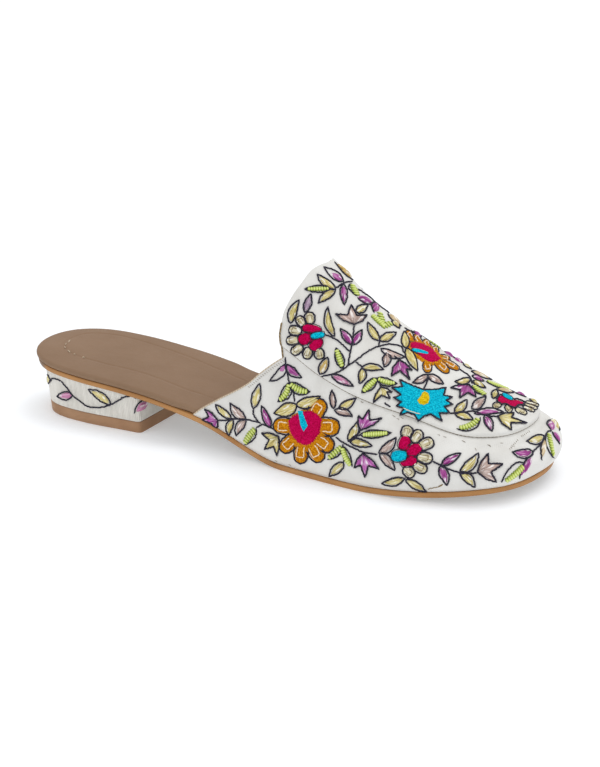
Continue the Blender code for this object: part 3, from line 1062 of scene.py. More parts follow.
def camera_axes():
    """The camera's right, up and back directions, and its place in millimetres of the shoe."""
    flat = math.cos(CAMERA_ELEVATION)
    back = np.array(
        [
            math.sin(CAMERA_AZIMUTH) * flat,
            -math.cos(CAMERA_AZIMUTH) * flat,
            math.sin(CAMERA_ELEVATION),
        ]
    )
    level = unit(np.cross([0.0, 0.0, 1.0], back))
    upright = np.cross(back, level)
    right = level * math.cos(CAMERA_ROLL) + upright * math.sin(CAMERA_ROLL)
    up = upright * math.cos(CAMERA_ROLL) - level * math.sin(CAMERA_ROLL)
    return right, up, back, np.array(CAMERA_TARGET) + back * CAMERA_DISTANCE


CAMERA_AXES = camera_axes()


class Carrier:
    """A grid of points on a piece, on which pixels of the photograph find their spots."""

    def __init__(self, points, normals):
        self.points = points
        self.normals = normals
        rows, columns = points.shape[:2]
        self.last = np.array([rows - 1, columns - 1])
        corners = [Vector(point) for point in points.reshape(-1, 3)]
        self.tree = BVHTree.FromPolygons(corners, quads_of(rows, columns).tolist())

    def spots(self, pixels):
        """Rows and columns of the grid, with fractions, that the pixels show."""
        right, up, back, eye = CAMERA_AXES
        found = []
        depth = CAMERA_DISTANCE
        for px, py in pixels:
            aside = (px - PHOTO_WIDTH / 2) / FOCAL_PIXELS
            below = (py - PHOTO_HEIGHT / 2) / FOCAL_PIXELS
            ray = right * aside - up * below - back
            hit, _, face, _ = self.tree.ray_cast(Vector(eye), Vector(ray))
            if hit is None:
                hit, _, face, _ = self.tree.find_nearest(Vector(eye + ray * depth))
            else:
                depth = float(np.dot(np.array(hit) - eye, -back))
            found.append(self.spot_in(face, np.array(hit)))
        return np.array(found)

    def spot_in(self, face, hit):
        row, column = divmod(face, int(self.last[1]))
        corner = self.points[row, column]
        steps = np.stack([self.points[row + 1, column] - corner, self.points[row, column + 1] - corner], -1)
        share = np.linalg.lstsq(steps, hit - corner, rcond=None)[0]
        return np.array([row, column]) + np.clip(share, 0, 1)

    def mirrored(self, spots):
        return np.stack([spots[..., 0], self.last[1] - spots[..., 1]], -1)

    def hidden(self, spots):
        """Whether all these spots face away from the camera."""
        points, normals = self.surface(spots)
        facing = np.sum(unit(CAMERA_AXES[3] - points) * normals, axis=-1)
        return bool(np.all(facing < -HIDDEN_FACING))

    def surface(self, spots):
        """Points and outward directions at spots of the grid."""
        cell = np.clip(np.floor(spots).astype(int), 0, self.last - 1)
        down, over = np.moveaxis(spots - cell, -1, 0)[..., None]
        row, column = np.moveaxis(cell, -1, 0)
        found = []
        for values in (self.points, self.normals):
            near = values[row, column] * (1 - over) + values[row, column + 1] * over
            far = values[row + 1, column] * (1 - over) + values[row + 1, column + 1] * over
            found.append(near * (1 - down) + far * down)
        return found[0], unit(found[1])


class Patch(Carrier):
    """Part of a carrier, drawn from straight above. Its first pixel axis runs from base to tip."""

    def __init__(self, carrier, base, tip):
        self.points, self.normals = carrier.points, carrier.normals
        self.last, self.tree = carrier.last, carrier.tree
        ends, normals = carrier.surface(carrier.spots([base, tip]))
        self.base = np.array(base)
        self.place = ends[0]
        self.length = np.linalg.norm(ends[1] - ends[0]) * PIXELS_PER_MM
        ahead = unit(ends[1] - ends[0])
        aside = unit(np.cross(ahead, normals[0] + normals[1]))
        self.axes = np.stack([ahead, aside]) / PIXELS_PER_MM

    def spots(self, pixels):
        found = []
        for place in self.place + (np.reshape(pixels, (-1, 2)) - self.base) @ self.axes:
            hit, _, face, _ = self.tree.find_nearest(Vector(place))
            found.append(self.spot_in(face, np.array(hit)))
        return np.array(found)


def on_cloth(stations, girths):
    """Points and outward directions on the upper, or on the apron over it."""
    normal = upper_normal(stations, girths)
    lift = np.maximum(apron_lift(stations, girths), 0.0) + fold_depth(stations, girths)
    return upper_point(stations, girths) + normal * lift[..., None], normal


def upper_carrier():
    return Carrier(*on_cloth(*upper_grid()))


def heel_carrier():
    """All round the heel, from the middle of its breast."""
    rings = np.roll(heel_rings(), BREAST_STEPS // 2, axis=1)
    rings = np.concatenate([rings, rings[:, :1]], axis=1)
    normals = np.cross(np.gradient(rings, axis=0), np.gradient(rings, axis=1))
    return Carrier(rings, unit(normals))


def footbed_carrier():
    """The top of the footbed over the heel, from its edge to past the groove."""
    stations = station_at(np.linspace(0, turn(np.array(HEEL_BREAST)), HEEL_STEPS))
    top = underside(stations) + OUTSOLE_THICKNESS + GAP + INSOLE_THICKNESS
    outer, inner = groove_insets(stations)
    levels = [(outer * share, inner * share, top) for share in np.linspace(0, FOOTBED_SPAN, FOOTBED_COLUMNS)]
    points = slab_rings(stations, levels)
    return Carrier(points, np.broadcast_to([0.0, 0.0, 1.0], points.shape))


class Stitching:
    """All threads of one kind, gathered for one joined piece."""

    def __init__(self):
        self.points, self.faces, self.uv = [], [], []
        self.count = 0

    def add(self, points, faces, uv):
        self.points.append(points.reshape(-1, 3))
        self.faces.extend((np.asarray(faces) + self.count).tolist())
        self.uv.append(uv.reshape(-1, 2))
        self.count += len(self.points[-1])


def tube(centre, normal, radius, closed=False, height=0.0):
    """Points, faces and cloth coordinates of a round thread that lies on a surface."""
    apart = np.append(True, np.diff(run_along(centre)) > LEAST_STEP)
    centre, normal = centre[apart], normal[apart]
    if closed:
        ahead = np.roll(centre, -1, axis=0) - np.roll(centre, 1, axis=0)
    else:
        ahead = np.gradient(centre, axis=0)
    aside = unit(np.cross(normal, ahead))
    thick = np.full((len(centre), 1, 1), radius)
    if not closed:
        thick[(0, -1), 0, 0] = radius * THREAD_END
    angles = np.linspace(0, 2 * math.pi, CORD_SIDES + 1)[None, :, None]
    ring = aside[:, None] * np.cos(angles) + normal[:, None] * np.sin(angles)
    points = (centre + normal * (height + radius * CORD_RISE))[:, None] + ring * thick
    run = run_along(centre)
    if closed:
        points = np.concatenate([points, points[:1]])
        run = np.append(run, run[-1] + np.linalg.norm(centre[0] - centre[-1]))
    around = np.linspace(0, 2 * math.pi * radius, CORD_SIDES + 1)
    uv = np.stack(np.meshgrid(run, around, indexing="ij"), -1)
    return points, quads_of(*points.shape[:2]), uv


def run_along(points):
    """Distances along a line of points from its start."""
    return np.append(0.0, np.cumsum(np.linalg.norm(np.diff(points, axis=0), axis=-1)))


class Needle:
    """Sews shapes drawn in pixels on a carrier, and some of them again on its hidden side."""

    def __init__(self, carrier, stitching, repeats):
        self.carrier = carrier
        self.stitching = stitching
        self.repeats = repeats
        self.again = False

    def start(self, outline):
        """Starts a motif, which is sewn again where all of its mirror image is out of sight."""
        mirrored = self.carrier.mirrored(self.carrier.spots(outline))
        self.again = self.repeats and self.carrier.hidden(mirrored)

    def sides(self, pixels):
        """Points and outward directions of the pixels, then of the same on the hidden side."""
        spots = self.carrier.spots(np.reshape(pixels, (-1, 2)))
        yield self.carrier.surface(spots)
        if self.again:
            yield self.carrier.surface(self.carrier.mirrored(spots))

    def line(self, thread, pixels, radius, closed=False, height=0.0):
        """A round thread along a line of pixels, as unsteady as a hand lays it."""
        pixels = pixels + HAND.normal(0, UNSTEADY, np.shape(pixels))
        for centre, normal in self.sides(pixels):
            self.stitching[thread].add(*tube(centre, normal, radius, closed, height))

    def pad(self, thread, pixels, heights, uv, faces):
        """A raised fill through pixels with heights above the cloth."""
        for points, normal in self.sides(pixels):
            self.stitching[thread].add(points + normal * np.reshape(heights, (-1, 1)), faces, uv)

    def bead(self, thread, pixel, ahead_pixel, length, width, height):
        """One oval bead, lengthwise towards the second pixel."""
        for points, normals in self.sides([pixel, ahead_pixel]):
            aside = unit(np.cross(normals[0], points[1] - points[0]))
            ahead = np.cross(aside, normals[0])
            levels = np.linspace(BEAD_FOOT, 1, BEAD_LEVELS)
            up, turned = np.meshgrid(levels, np.linspace(0, 2, BEAD_SIDES + 1), indexing="ij")
            flat = np.cos(up * math.pi / 2)[..., None]
            bead = (
                ahead * flat * length / 2 * np.cos(turned * math.pi)[..., None]
                + aside * flat * width / 2 * np.sin(turned * math.pi)[..., None]
                + normals[0] * height * np.sin(up * math.pi / 2)[..., None]
            )
            uv = np.stack([turned, up], -1)
            self.stitching[thread].add(points[0] + bead, quads_of(*bead.shape[:2]), uv)


# Shapes of the embroidery, in pixels of the photograph

def leaf_half_width(share):
    """Pointed at both ends and widest nearer the base."""
    return np.sin(math.pi * share**LEAF_SKEW) ** LEAF_FULLNESS


def petal_half_width(share):
    """Round at both ends."""
    return (1 - np.abs(2 * share - 1) ** PETAL_ROUNDNESS) ** (1 / PETAL_ROUNDNESS)


def middle_line(base, tip, bend, shares):
    """Points along a bent middle line and the directions across it."""
    base, tip = np.array(base, float), np.array(tip, float)
    run = tip - base
    across = np.array([run[1], -run[0]])
    points = base + run * shares[:, None] + across * bend * np.sin(math.pi * shares)[:, None]
    heading = unit(np.gradient(points, axis=0))
    return points, np.stack([heading[:, 1], -heading[:, 0]], -1)


def outline_of(base, tip, width, bend, half_width_at):
    """A closed line of pixels round a leaf or petal."""
    shares = np.linspace(0, 1, LEAF_STEPS)
    points, across = middle_line(base, tip, bend, shares)
    offset = across * (width / 2 * half_width_at(shares))[:, None]
    return np.concatenate([points + offset, (points - offset)[-2:0:-1]])


def curve_through(points):
    """A smooth line through a few pixels."""
    points = np.array(points, float)
    padded = np.concatenate([[2 * points[0] - points[1]], points, [2 * points[-1] - points[-2]]])
    found = [points[:1]]
    for before, start, end, after in zip(padded, padded[1:], padded[2:], padded[3:]):
        steps = max(2, math.ceil(np.linalg.norm(end - start) / LINE_STEP))
        part = np.linspace(0, 1, steps + 1)[1:, None]
        found.append(cubic(before, start, end, after, part))
    return np.concatenate(found)


def closed_line(points):
    """Straight sides between corner pixels, cut into short steps."""
    points = np.array(points, float)
    found = []
    for start, end in zip(points, np.roll(points, -1, axis=0)):
        steps = max(1, math.ceil(np.linalg.norm(end - start) / LINE_STEP))
        found.append(start + (end - start) * np.linspace(0, 1, steps, endpoint=False)[:, None])
    return np.concatenate(found)


def sew_leaf_fill(needle, thread, base, tip, width, bend, half_width_at, rise, lift=0.0):
    """A padded fill whose strands run from base to tip."""
    shares = np.linspace(0, 1, FILL_ROWS)
    over = np.linspace(-1, 1, FILL_COLUMNS)
    points, across = middle_line(base, tip, bend, shares)
    half = width / 2 * half_width_at(shares)
    pixels = points[:, None] + across[:, None] * half[:, None, None] * over[None, :, None]
    crown = np.sqrt(np.maximum(1 - over**2, 0) * half_width_at(shares)[:, None])
    ridges = STRAND_RIDGE * np.abs(np.cos(over * math.pi * STRAND_BUNDLES / 2))[None, :] * crown
    heights = lift - PAD_SINK + (rise + PAD_SINK) * crown + ridges
    length = np.linalg.norm(np.subtract(tip, base)) / PIXELS_PER_MM
    uv = np.stack(np.broadcast_arrays((shares * length)[:, None], half[:, None] * over / PIXELS_PER_MM), -1)
    start = np.array(base) * UV_SHIFT
    needle.pad(thread, pixels, heights, uv + start, quads_of(FILL_ROWS, FILL_COLUMNS))


def sew_beads(needle, thread, base, tip, width, bend):
    """A row of beads along a leaf."""
    length = np.linalg.norm(np.subtract(tip, base))
    count = max(LEAST_BEADS, round(length * (BEAD_END - BEAD_START) / BEAD_PITCH))
    shares = np.linspace(BEAD_START, BEAD_END, count)
    points, _ = middle_line(base, tip, bend, np.append(shares, 1.0))
    size = BEAD_PITCH / PIXELS_PER_MM * BEAD_OVERLAP
    for here, ahead, share in zip(points, points[1:], shares):
        taper = 1 - BEAD_TAPER * (1 - math.sin(math.pi * share))
        needle.bead(thread, here, ahead, size, width / PIXELS_PER_MM * BEAD_WIDTH * taper, BEAD_RISE)


def sew_leaf(needle, thread, base, tip, width, bend, corded="both", filled=FILL_END, rise=LEAF_RISE):
    """A leaf: a cord round it or along one side, and beads or strands inside."""
    outline = outline_of(base, tip, width, bend, leaf_half_width)
    needle.start(outline)
    if corded == "both":
        needle.line("cord", outline, CORD_RADIUS, closed=True)
    elif corded == "left":
        needle.line("cord", outline[:LEAF_STEPS], CORD_RADIUS)
    elif corded == "right":
        needle.line("cord", np.roll(outline, -LEAF_STEPS + 1, axis=0)[:LEAF_STEPS], CORD_RADIUS)
    if thread == "lime":
        sew_beads(needle, thread, base, tip, width, bend)
        return
    run = np.subtract(tip, base)
    start = np.array(base) + run * FILL_START
    end = np.array(base) + run * filled
    sew_leaf_fill(needle, thread, start, end, width * FILL_WIDTH, bend, leaf_half_width, rise)


def sew_ridge_leaf(needle, thread, base, tip, width, bend, corded):
    """A leaf that keeps its shape from all sides, where the photograph shows it almost edge on."""
    patch = Patch(needle.carrier, base, tip)
    above = Needle(patch, needle.stitching, repeats=False)
    end = (base[0] + patch.length, base[1])
    sew_leaf(above, thread, base, end, width, bend, corded, rise=RIDGE_LEAF_RISE)


def sew_sepal(needle, thread, base, tip, width, bend):
    """A leaf under a flower, filled up to its cord."""
    outline = outline_of(base, tip, width, bend, leaf_half_width)
    needle.start(outline)
    needle.line("cord", outline, CORD_RADIUS, closed=True)
    sew_leaf_fill(needle, thread, base, tip, width * SEPAL_FILL, bend, leaf_half_width, SEPAL_RISE)


def sew_petal(needle, thread, base, tip, width, rise, cord_radius, lift=0.0, cord_lift=0.0):
    """A round petal in a cord."""
    outline = outline_of(base, tip, width, 0.0, petal_half_width)
    needle.start(outline)
    needle.line("cord", outline, cord_radius, closed=True, height=cord_lift)
    sew_leaf_fill(needle, thread, base, tip, width * PETAL_FILL[thread], 0.0, petal_half_width, rise, lift)


def sew_bow(needle, thread, radius, base, tip, width, height):
    """A cord laid in a bow inside a petal."""
    base = np.array(base)
    run = np.subtract(tip, base)
    aside = unit(np.array([run[1], -run[0]])) * width / 2
    corners = [base + run * along + aside * across for along, across in BOW]
    needle.line(thread, curve_through(corners), radius, height=height * BOW_HEIGHT)


def fringed(border, depth):
    """A closed line with every other step moved out, as ends of long and short stitches."""
    ahead = np.roll(border, -1, axis=0) - np.roll(border, 1, axis=0)
    next_x, next_y = np.roll(border, -1, axis=0).T
    way_round = np.sign(np.sum(border[:, 0] * next_y - border[:, 1] * next_x))
    outwards = unit(np.stack([ahead[:, 1], -ahead[:, 0]], -1)) * way_round
    moved = border.copy()
    moved[::2] += outwards[::2] * depth
    return moved


def distance_to(border, pixels):
    """How far each pixel lies from the nearest point of a border."""
    return np.min(np.linalg.norm(pixels[:, None] - border[None], axis=-1), axis=1)


def filled_border(border):
    """Pixels and triangles that fill a closed line."""
    spans = (np.arange(low, high, AREA_STEP) for low, high in zip(border.min(axis=0), border.max(axis=0)))
    inside = np.stack(np.meshgrid(*spans), -1).reshape(-1, 2)
    inside = inside[distance_to(border, inside) > AREA_STEP * AREA_MARGIN]
    corners = [Vector(point) for point in np.concatenate([border, inside])]
    edges = [(i, (i + 1) % len(border)) for i in range(len(border))]
    within_border = 1
    corners, _, faces, *_ = delaunay_2d_cdt(corners, edges, [], within_border, SAME_PIXEL)
    used, faces = np.unique(faces, return_inverse=True)
    return np.array(corners)[used], faces.reshape(-1, 3)


def spread_from(root, pixels):
    """Cloth coordinates of strands that spread from a root."""
    spread = pixels - root
    length = np.linalg.norm(spread, axis=1)
    middle = spread.mean(axis=0)
    turned = np.arctan2(spread @ (middle[1], -middle[0]), spread @ middle)
    return np.stack([length, turned * length.mean()], -1) / PIXELS_PER_MM + np.array(root) * UV_SHIFT


def sew_area(needle, thread, corners, rise, lift=0.0, outlined=False, fringe=0.0, root=None):
    """A filled area of any outline, round at its edges. Its strands may spread from a root."""
    border = fringed(closed_line(corners), fringe)
    needle.start(border)
    if outlined:
        needle.line("cord", border, CORD_RADIUS, closed=True, height=lift + AREA_CORD_LIFT)
    pixels, faces = filled_border(border)
    rounded = np.sqrt(1 - (1 - np.clip(distance_to(border, pixels) / AREA_ROUND, 0, 1)) ** 2)
    heights = lift - PAD_SINK + (rise + PAD_SINK) * rounded
    uv = pixels / PIXELS_PER_MM if root is None else spread_from(root, pixels)
    needle.pad(thread, pixels, heights, uv, faces)


def tulip_corners(base, tips):
    """Corners of a three-lobed bud from its base and its tips."""
    base = np.array(base, float)
    first, middle, last = (np.array(tip, float) for tip in tips)
    notches = [base + ((a + b) / 2 - base) * NOTCH_SHARE for a, b in ((first, middle), (middle, last))]
    sides = []
    for tip in (first, last):
        half = (base + tip) / 2
        sides.append(half + (half - (base + middle) / 2) * TULIP_SWELL)
    return [base, sides[0], first, notches[0], middle, notches[1], last, sides[1]]


# The embroidery itself: every place is a pixel of the photograph
LEAVES = (
    # thread, base, tip, width, bend
    # wing and side
    ("gold", (231.7, 418.2), (215.8, 404.4), 7.0, 0.05),
    ("gold", (232.8, 419.4), (228.8, 435.4), 7.0, -0.08),
    ("dusty", (246.0, 419.4), (230.2, 403.1), 9.0, 0.08),
    ("dusty", (246.0, 419.4), (236.3, 435.4), 8.5, -0.08),
    ("gold", (253.5, 408.5), (259.8, 383.5), 9.0, 0.0),
    ("magenta", (270.7, 428.0), (261.7, 405.8), 7.5, 0.0),
    ("lime", (289.6, 382.6), (278.1, 401.6), 10.0, 0.12),
    ("lime", (289.6, 382.6), (310.3, 391.8), 10.0, -0.12),
    ("magenta", (286.0, 364.3), (301.8, 377.6), 8.0, -0.08),
    ("dusty", (333.8, 408.7), (331.9, 390.0), 5.8, 0.0),
    ("gold", (338.6, 408.7), (355.8, 398.2), 8.0, -0.05),
    ("dusty", (334.8, 410.6), (352.5, 416.5), 7.5, 0.08),
    ("gold", (348.2, 441.2), (357.3, 421.6), 9.0, -0.08),
    ("gold", (349.1, 440.3), (372.1, 446.0), 8.0, 0.0),
    ("lime", (360.5, 434.9), (391.2, 433.1), 8.0, 0.0),
    ("gold", (343.9, 462.3), (329.2, 476.2), 9.0, 0.0),
    ("dusty", (378.8, 452.7), (396.0, 437.4), 9.0, -0.10),
    ("dusty", (379.7, 453.7), (394.6, 470.4), 9.0, 0.06),
    ("straw", (404.6, 478.5), (381.7, 483.3), 8.0, 0.05),
    ("straw", (405.6, 479.5), (426.6, 491.5), 7.5, 0.0),
    ("magenta", (441.0, 465.1), (461.1, 453.2), 8.0, 0.0),
    ("magenta", (440.0, 466.1), (447.2, 485.2), 9.0, 0.05),
    ("gold", (460.1, 472.7), (478.4, 453.0), 9.5, -0.08),
    ("gold", (460.1, 472.7), (474.8, 487.0), 9.0, 0.08),
    ("magenta", (532.9, 451.7), (512.3, 452.1), 9.0, 0.10),
    ("gold", (544.0, 436.1), (526.6, 441.4), 9.0, 0.08),
    # tongue
    ("gold", (290.6, 323.5), (299.3, 300.0), 8.5, 0.08),
    ("lilac", (304.9, 312.2), (311.0, 293.9), 7.5, 0.0),
    ("lime", (330.4, 288.8), (304.9, 289.3), 7.0, 0.0),
    ("gold", (335.5, 288.8), (317.1, 274.5), 8.0, 0.06),
    ("gold", (335.5, 289.8), (318.2, 303.6), 8.0, -0.06),
    ("magenta", (343.2, 284.2), (344.2, 305.1), 7.5, 0.0),
    ("gold", (335.0, 336.7), (327.9, 306.6), 7.5, 0.12),
    ("gold", (355.4, 312.2), (368.2, 305.1), 8.0, 0.0),
    ("magenta", (352.9, 344.9), (340.1, 328.6), 8.0, 0.0),
    ("magenta", (352.9, 344.9), (362.0, 330.1), 8.0, 0.0),
    ("gold", (379.4, 340.8), (367.7, 322.4), 8.0, 0.06),
    ("gold", (379.4, 340.8), (396.2, 332.7), 8.5, 0.0),
    ("amber", (320.2, 374.5), (327.9, 357.1), 9.0, 0.0),
    ("lime", (342.7, 368.4), (336.0, 348.0), 8.5, 0.0),
    ("rose", (331.4, 375.0), (353.4, 386.2), 7.5, 0.0),
    ("gold", (362.0, 368.4), (383.5, 369.4), 7.0, 0.08),
    ("gold", (362.0, 368.4), (359.5, 383.7), 8.0, 0.10),
    ("dusty", (380.9, 349.0), (404.9, 357.1), 7.0, -0.08),
    ("dusty", (386.5, 353.1), (384.0, 367.3), 8.5, 0.10),
    ("lime", (376.8, 378.6), (362.0, 392.9), 9.0, 0.0),
    ("lime", (376.8, 378.6), (396.7, 383.7), 8.0, -0.06),
    # round the ridge
    ("dusty", (427.8, 375.2), (412.5, 382.9), 7.0, 0.06),
    ("dusty", (427.8, 375.2), (443.8, 384.2), 7.0, 0.0),
    ("gold", (470.4, 379.4), (455.2, 382.1), 6.5, 0.06),
    ("gold", (454.3, 412.9), (466.8, 399.9), 8.5, -0.06),
    ("gold", (455.2, 414.6), (473.5, 420.0), 7.5, 0.06),
    ("dusty", (472.1, 409.3), (486.0, 396.8), 9.0, 0.0),
    ("magenta", (474.4, 413.8), (503.4, 412.4), 6.5, 0.06),
    ("magenta", (484.6, 415.5), (491.8, 431.6), 8.0, 0.05),
    ("gold", (496.0, 390.0), (493.0, 399.0), 7.0, 0.0),
)

HALF_CORDED_LEAVES = (
    # thread, base, tip, width, bend, side of the cord on the way from base to tip, if any
    ("lime", (256.3, 428.0), (244.3, 445.2), 11.0, -0.05, "left"),
    ("lime", (342.4, 446.0), (327.5, 459.5), 9.0, 0.0, "left"),
    ("lime", (342.4, 446.0), (352.5, 467.0), 10.0, -0.08, "left"),
    ("lime", (524.6, 464.6), (503.0, 482.4), 10.5, 0.05, "none"),
    ("magenta", (532.4, 455.7), (519.5, 478.9), 8.0, 0.0, "right"),
    ("peach", (545.4, 437.9), (541.8, 460.2), 6.5, 0.0, "right"),
    ("lime", (548.0, 431.6), (553.8, 458.4), 10.0, 0.0, "right"),
    ("lime", (371.2, 314.3), (386.0, 328.0), 12.0, 0.0, "none"),
    ("lime", (379.6, 312.3), (382.4, 323.5), 12.0, 0.0, "none"),
    ("lime", (381.4, 327.0), (391.6, 323.0), 11.0, 0.0, "none"),
    ("lime", (480.2, 417.3), (456.5, 428.5), 10.0, 0.12, "left"),
)

# Near the ridge and the toe's tip, where the photograph shows the cloth almost edge on
RIDGE_LEAVES = (
    # thread, base, tip, width, bend, side of the cord on the way from base to tip
    ("amber", (353.2, 280.0), (334.0, 261.6), 12.0, 0.04, "left"),
    ("lime", (351.6, 284.2), (357.4, 296.4), 14.0, 0.0, "right"),
    ("magenta", (356.9, 297.4), (374.2, 303.4), 12.0, 0.0, "right"),
    ("magenta", (375.9, 303.6), (374.4, 313.2), 11.0, 0.0, "right"),
    ("peach", (388.0, 313.6), (402.0, 326.6), 13.0, 0.0, "right"),
    ("straw", (392.4, 320.8), (399.4, 328.6), 9.0, 0.0, "both"),
    ("magenta", (413.0, 331.6), (421.4, 337.4), 12.0, 0.0, "left"),
    ("lime", (428.6, 341.0), (440.4, 349.0), 15.0, 0.0, "left"),
    ("magenta", (444.0, 351.6), (454.4, 358.4), 12.0, 0.0, "left"),
    ("magenta", (453.6, 358.0), (463.2, 363.8), 12.0, 0.0, "left"),
    ("gold", (463.0, 364.5), (471.0, 369.0), 10.0, 0.0, "both"),
    ("magenta", (471.8, 376.2), (484.0, 381.4), 11.5, 0.0, "both"),
    ("gold", (473.0, 380.7), (485.5, 388.3), 9.5, 0.0, "both"),
    ("peach", (471.3, 371.8), (491.3, 379.8), 12.0, 0.0, "both"),
    ("lime", (472.5, 385.5), (486.0, 395.8), 11.5, 0.0, "right"),
    ("lime", (485.2, 381.4), (511.6, 390.8), 16.0, 0.0, "right"),
    ("peach", (497.1, 390.1), (514.1, 392.3), 12.0, 0.0, "both"),
    ("magenta", (515.2, 392.6), (526.4, 397.4), 12.0, 0.0, "right"),
    ("gold", (529.3, 399.5), (539.1, 404.4), 9.5, 0.0, "both"),
    ("magenta", (552.1, 431.6), (559.6, 444.1), 9.5, 0.0, "right"),
    ("magenta", (551.2, 430.7), (550.7, 420.0), 9.5, 0.0, "left"),
    ("gold", (551.6, 418.8), (558.8, 430.4), 11.0, 0.0, "left"),
)

PART_FILLED_LEAVES = (
    # thread, base, tip, width, bend, filled share
    ("magenta", (286.0, 364.3), (269.9, 381.1), 8.0, 0.10, 0.4),
    ("magenta", (343.2, 281.6), (323.8, 267.3), 8.0, 0.0, 0.62),
)

# Short ends of thread: the middle pixel and the angle down from level
FLECKS = (
    (445.0, 437.0, 25), (463.6, 441.2, 22), (488.8, 445.2, 20), (501.6, 443.2, 5), (475.6, 449.4, 70),
    (362.0, 402.0, 30), (394.0, 416.0, 35), (398.0, 419.0, 25), (402.0, 418.0, 40), (439.0, 435.0, 25),
    (464.0, 441.6, 30), (489.6, 446.0, 35), (276.0, 461.0, 25), (290.0, 465.0, 20), (312.0, 474.0, 20),
    (322.0, 477.0, 15), (335.0, 481.0, 15),
)

# Rows of short slanting stitches: the first and the last middle pixel and how many
HATCHES = (
    ((511.0, 447.6), (517.6, 440.2), 6),
    ((509.6, 449.0), (514.0, 446.4), 3),
    ((521.6, 436.4), (529.2, 431.6), 6),
)

LOOSE_THREADS = (
    # thread, height, line
    ("pale", 0.75, ((403.0, 409.0), (411.0, 412.5), (420.0, 415.0))),
    ("bronze", 0.0, ((427.6, 489.0), (433.0, 487.7), (438.0, 487.0))),
    ("bronze", 0.0, ((437.5, 487.3), (440.5, 485.0), (442.6, 484.2), (441.0, 486.2), (437.5, 487.3))),
)

FOOTBED_STITCHES = (
    # from, to
    ((70.2, 340.3), (68.3, 342.6)),
    ((66.5, 343.6), (65.1, 345.0)),
    ((64.2, 346.8), (65.4, 348.5)),
    ((67.6, 350.3), (70.1, 352.7)),
    ((73.4, 354.1), (75.8, 354.9)),
    ((82.0, 357.3), (85.2, 357.9)),
)

HEEL_LEAVES = (
    # thread, base, tip, width, bend, side of the cord on the way from base to tip
    ("rose", (72.8, 395.2), (57.1, 396.3), 8.5, 0.0, "both"),
    ("straw", (110.3, 404.5), (88.6, 389.3), 8.0, -0.05, "both"),
    ("rose", (148.2, 400.9), (134.6, 413.2), 10.0, 0.0, "right"),
    ("gold", (47.9, 384.2), (47.1, 374.4), 5.5, 0.0, "right"),
)

STEMS = (
    # pixels along each stem
    ((218.5, 420.0), (224.0, 420.5), (233.0, 419.0), (246.0, 419.3), (259.0, 422.5)),
    ((253.5, 408.5), (254.0, 415.0), (258.0, 421.0), (261.0, 423.5)),
    ((256.3, 428.0), (260.0, 425.5), (263.0, 424.5), (270.0, 427.0), (275.0, 430.0)),
    ((289.6, 382.6), (293.5, 392.0), (294.8, 402.0)),
    ((285.5, 357.0), (286.0, 364.3), (289.0, 382.0)),
    ((335.7, 437.4), (344.3, 443.1), (353.9, 447.9), (363.5, 452.2), (377.8, 454.4)),
    ((349.0, 440.5), (356.0, 435.0), (360.6, 431.5)),
    ((352.0, 438.0), (356.5, 435.8), (361.5, 434.9)),
    ((343.0, 444.0), (344.5, 453.0), (343.9, 462.3)),
    ((432.4, 461.3), (440.0, 465.1), (448.6, 469.0), (462.0, 473.3), (477.0, 473.0)),
    ((532.9, 455.0), (533.0, 451.7), (541.8, 442.8), (545.0, 436.0), (548.0, 431.6), (551.5, 431.0)),
    ((524.0, 463.4), (519.5, 462.0), (513.0, 465.0), (505.5, 473.5), (501.4, 482.4)),
    ((335.5, 288.3), (343.7, 283.2), (352.3, 281.6)),
    ((353.9, 325.5), (353.0, 335.0), (352.3, 341.8), (350.8, 350.0), (347.8, 366.3)),
    ((324.8, 334.7), (336.5, 339.8), (344.7, 346.9), (349.8, 352.0)),
    ((378.4, 345.9), (379.4, 340.8)),
    (
        (321.2, 376.5), (331.4, 374.5), (341.6, 370.4), (354.9, 361.2), (367.1, 352.0), (378.4, 346.4),
        (390.6, 344.4), (400.8, 346.9), (403.9, 353.1),
    ),
    ((355.4, 361.7), (361.0, 366.3), (362.0, 368.4)),
    ((376.8, 378.6), (379.5, 383.0), (380.7, 387.2)),
    ((388.0, 352.5), (394.0, 356.0), (398.8, 360.2)),
    ((428.5, 377.1), (426.0, 384.0), (423.4, 390.5)),
    ((455.0, 413.5), (464.0, 412.6), (473.0, 411.5), (484.6, 415.5), (497.1, 416.9)),
    ((449.6, 413.5), (455.0, 413.5)),
    ((356.9, 289.0), (368.0, 296.0), (378.0, 305.0), (389.0, 313.0)),
    ((404.0, 328.0), (411.0, 331.5), (416.0, 334.0)),
    ((459.1, 369.5), (468.6, 376.0), (472.0, 384.0)),
    ((384.0, 403.0), (388.0, 405.5), (391.0, 407.0)),
)

# In three parts, of which the heel's hidden side repeats the middle one
HEEL_STEMS = (
    ((49.0, 383.9), (53.3, 378.4), (61.5, 381.1)),
    (
        (61.5, 381.1), (68.0, 388.7), (72.8, 395.2), (79.9, 400.7), (88.6, 406.4), (99.4, 407.4),
        (108.1, 405.6), (115.7, 402.3), (123.3, 397.4), (130.9, 395.6),
    ),
    ((130.9, 395.6), (138.5, 397.4)),
)

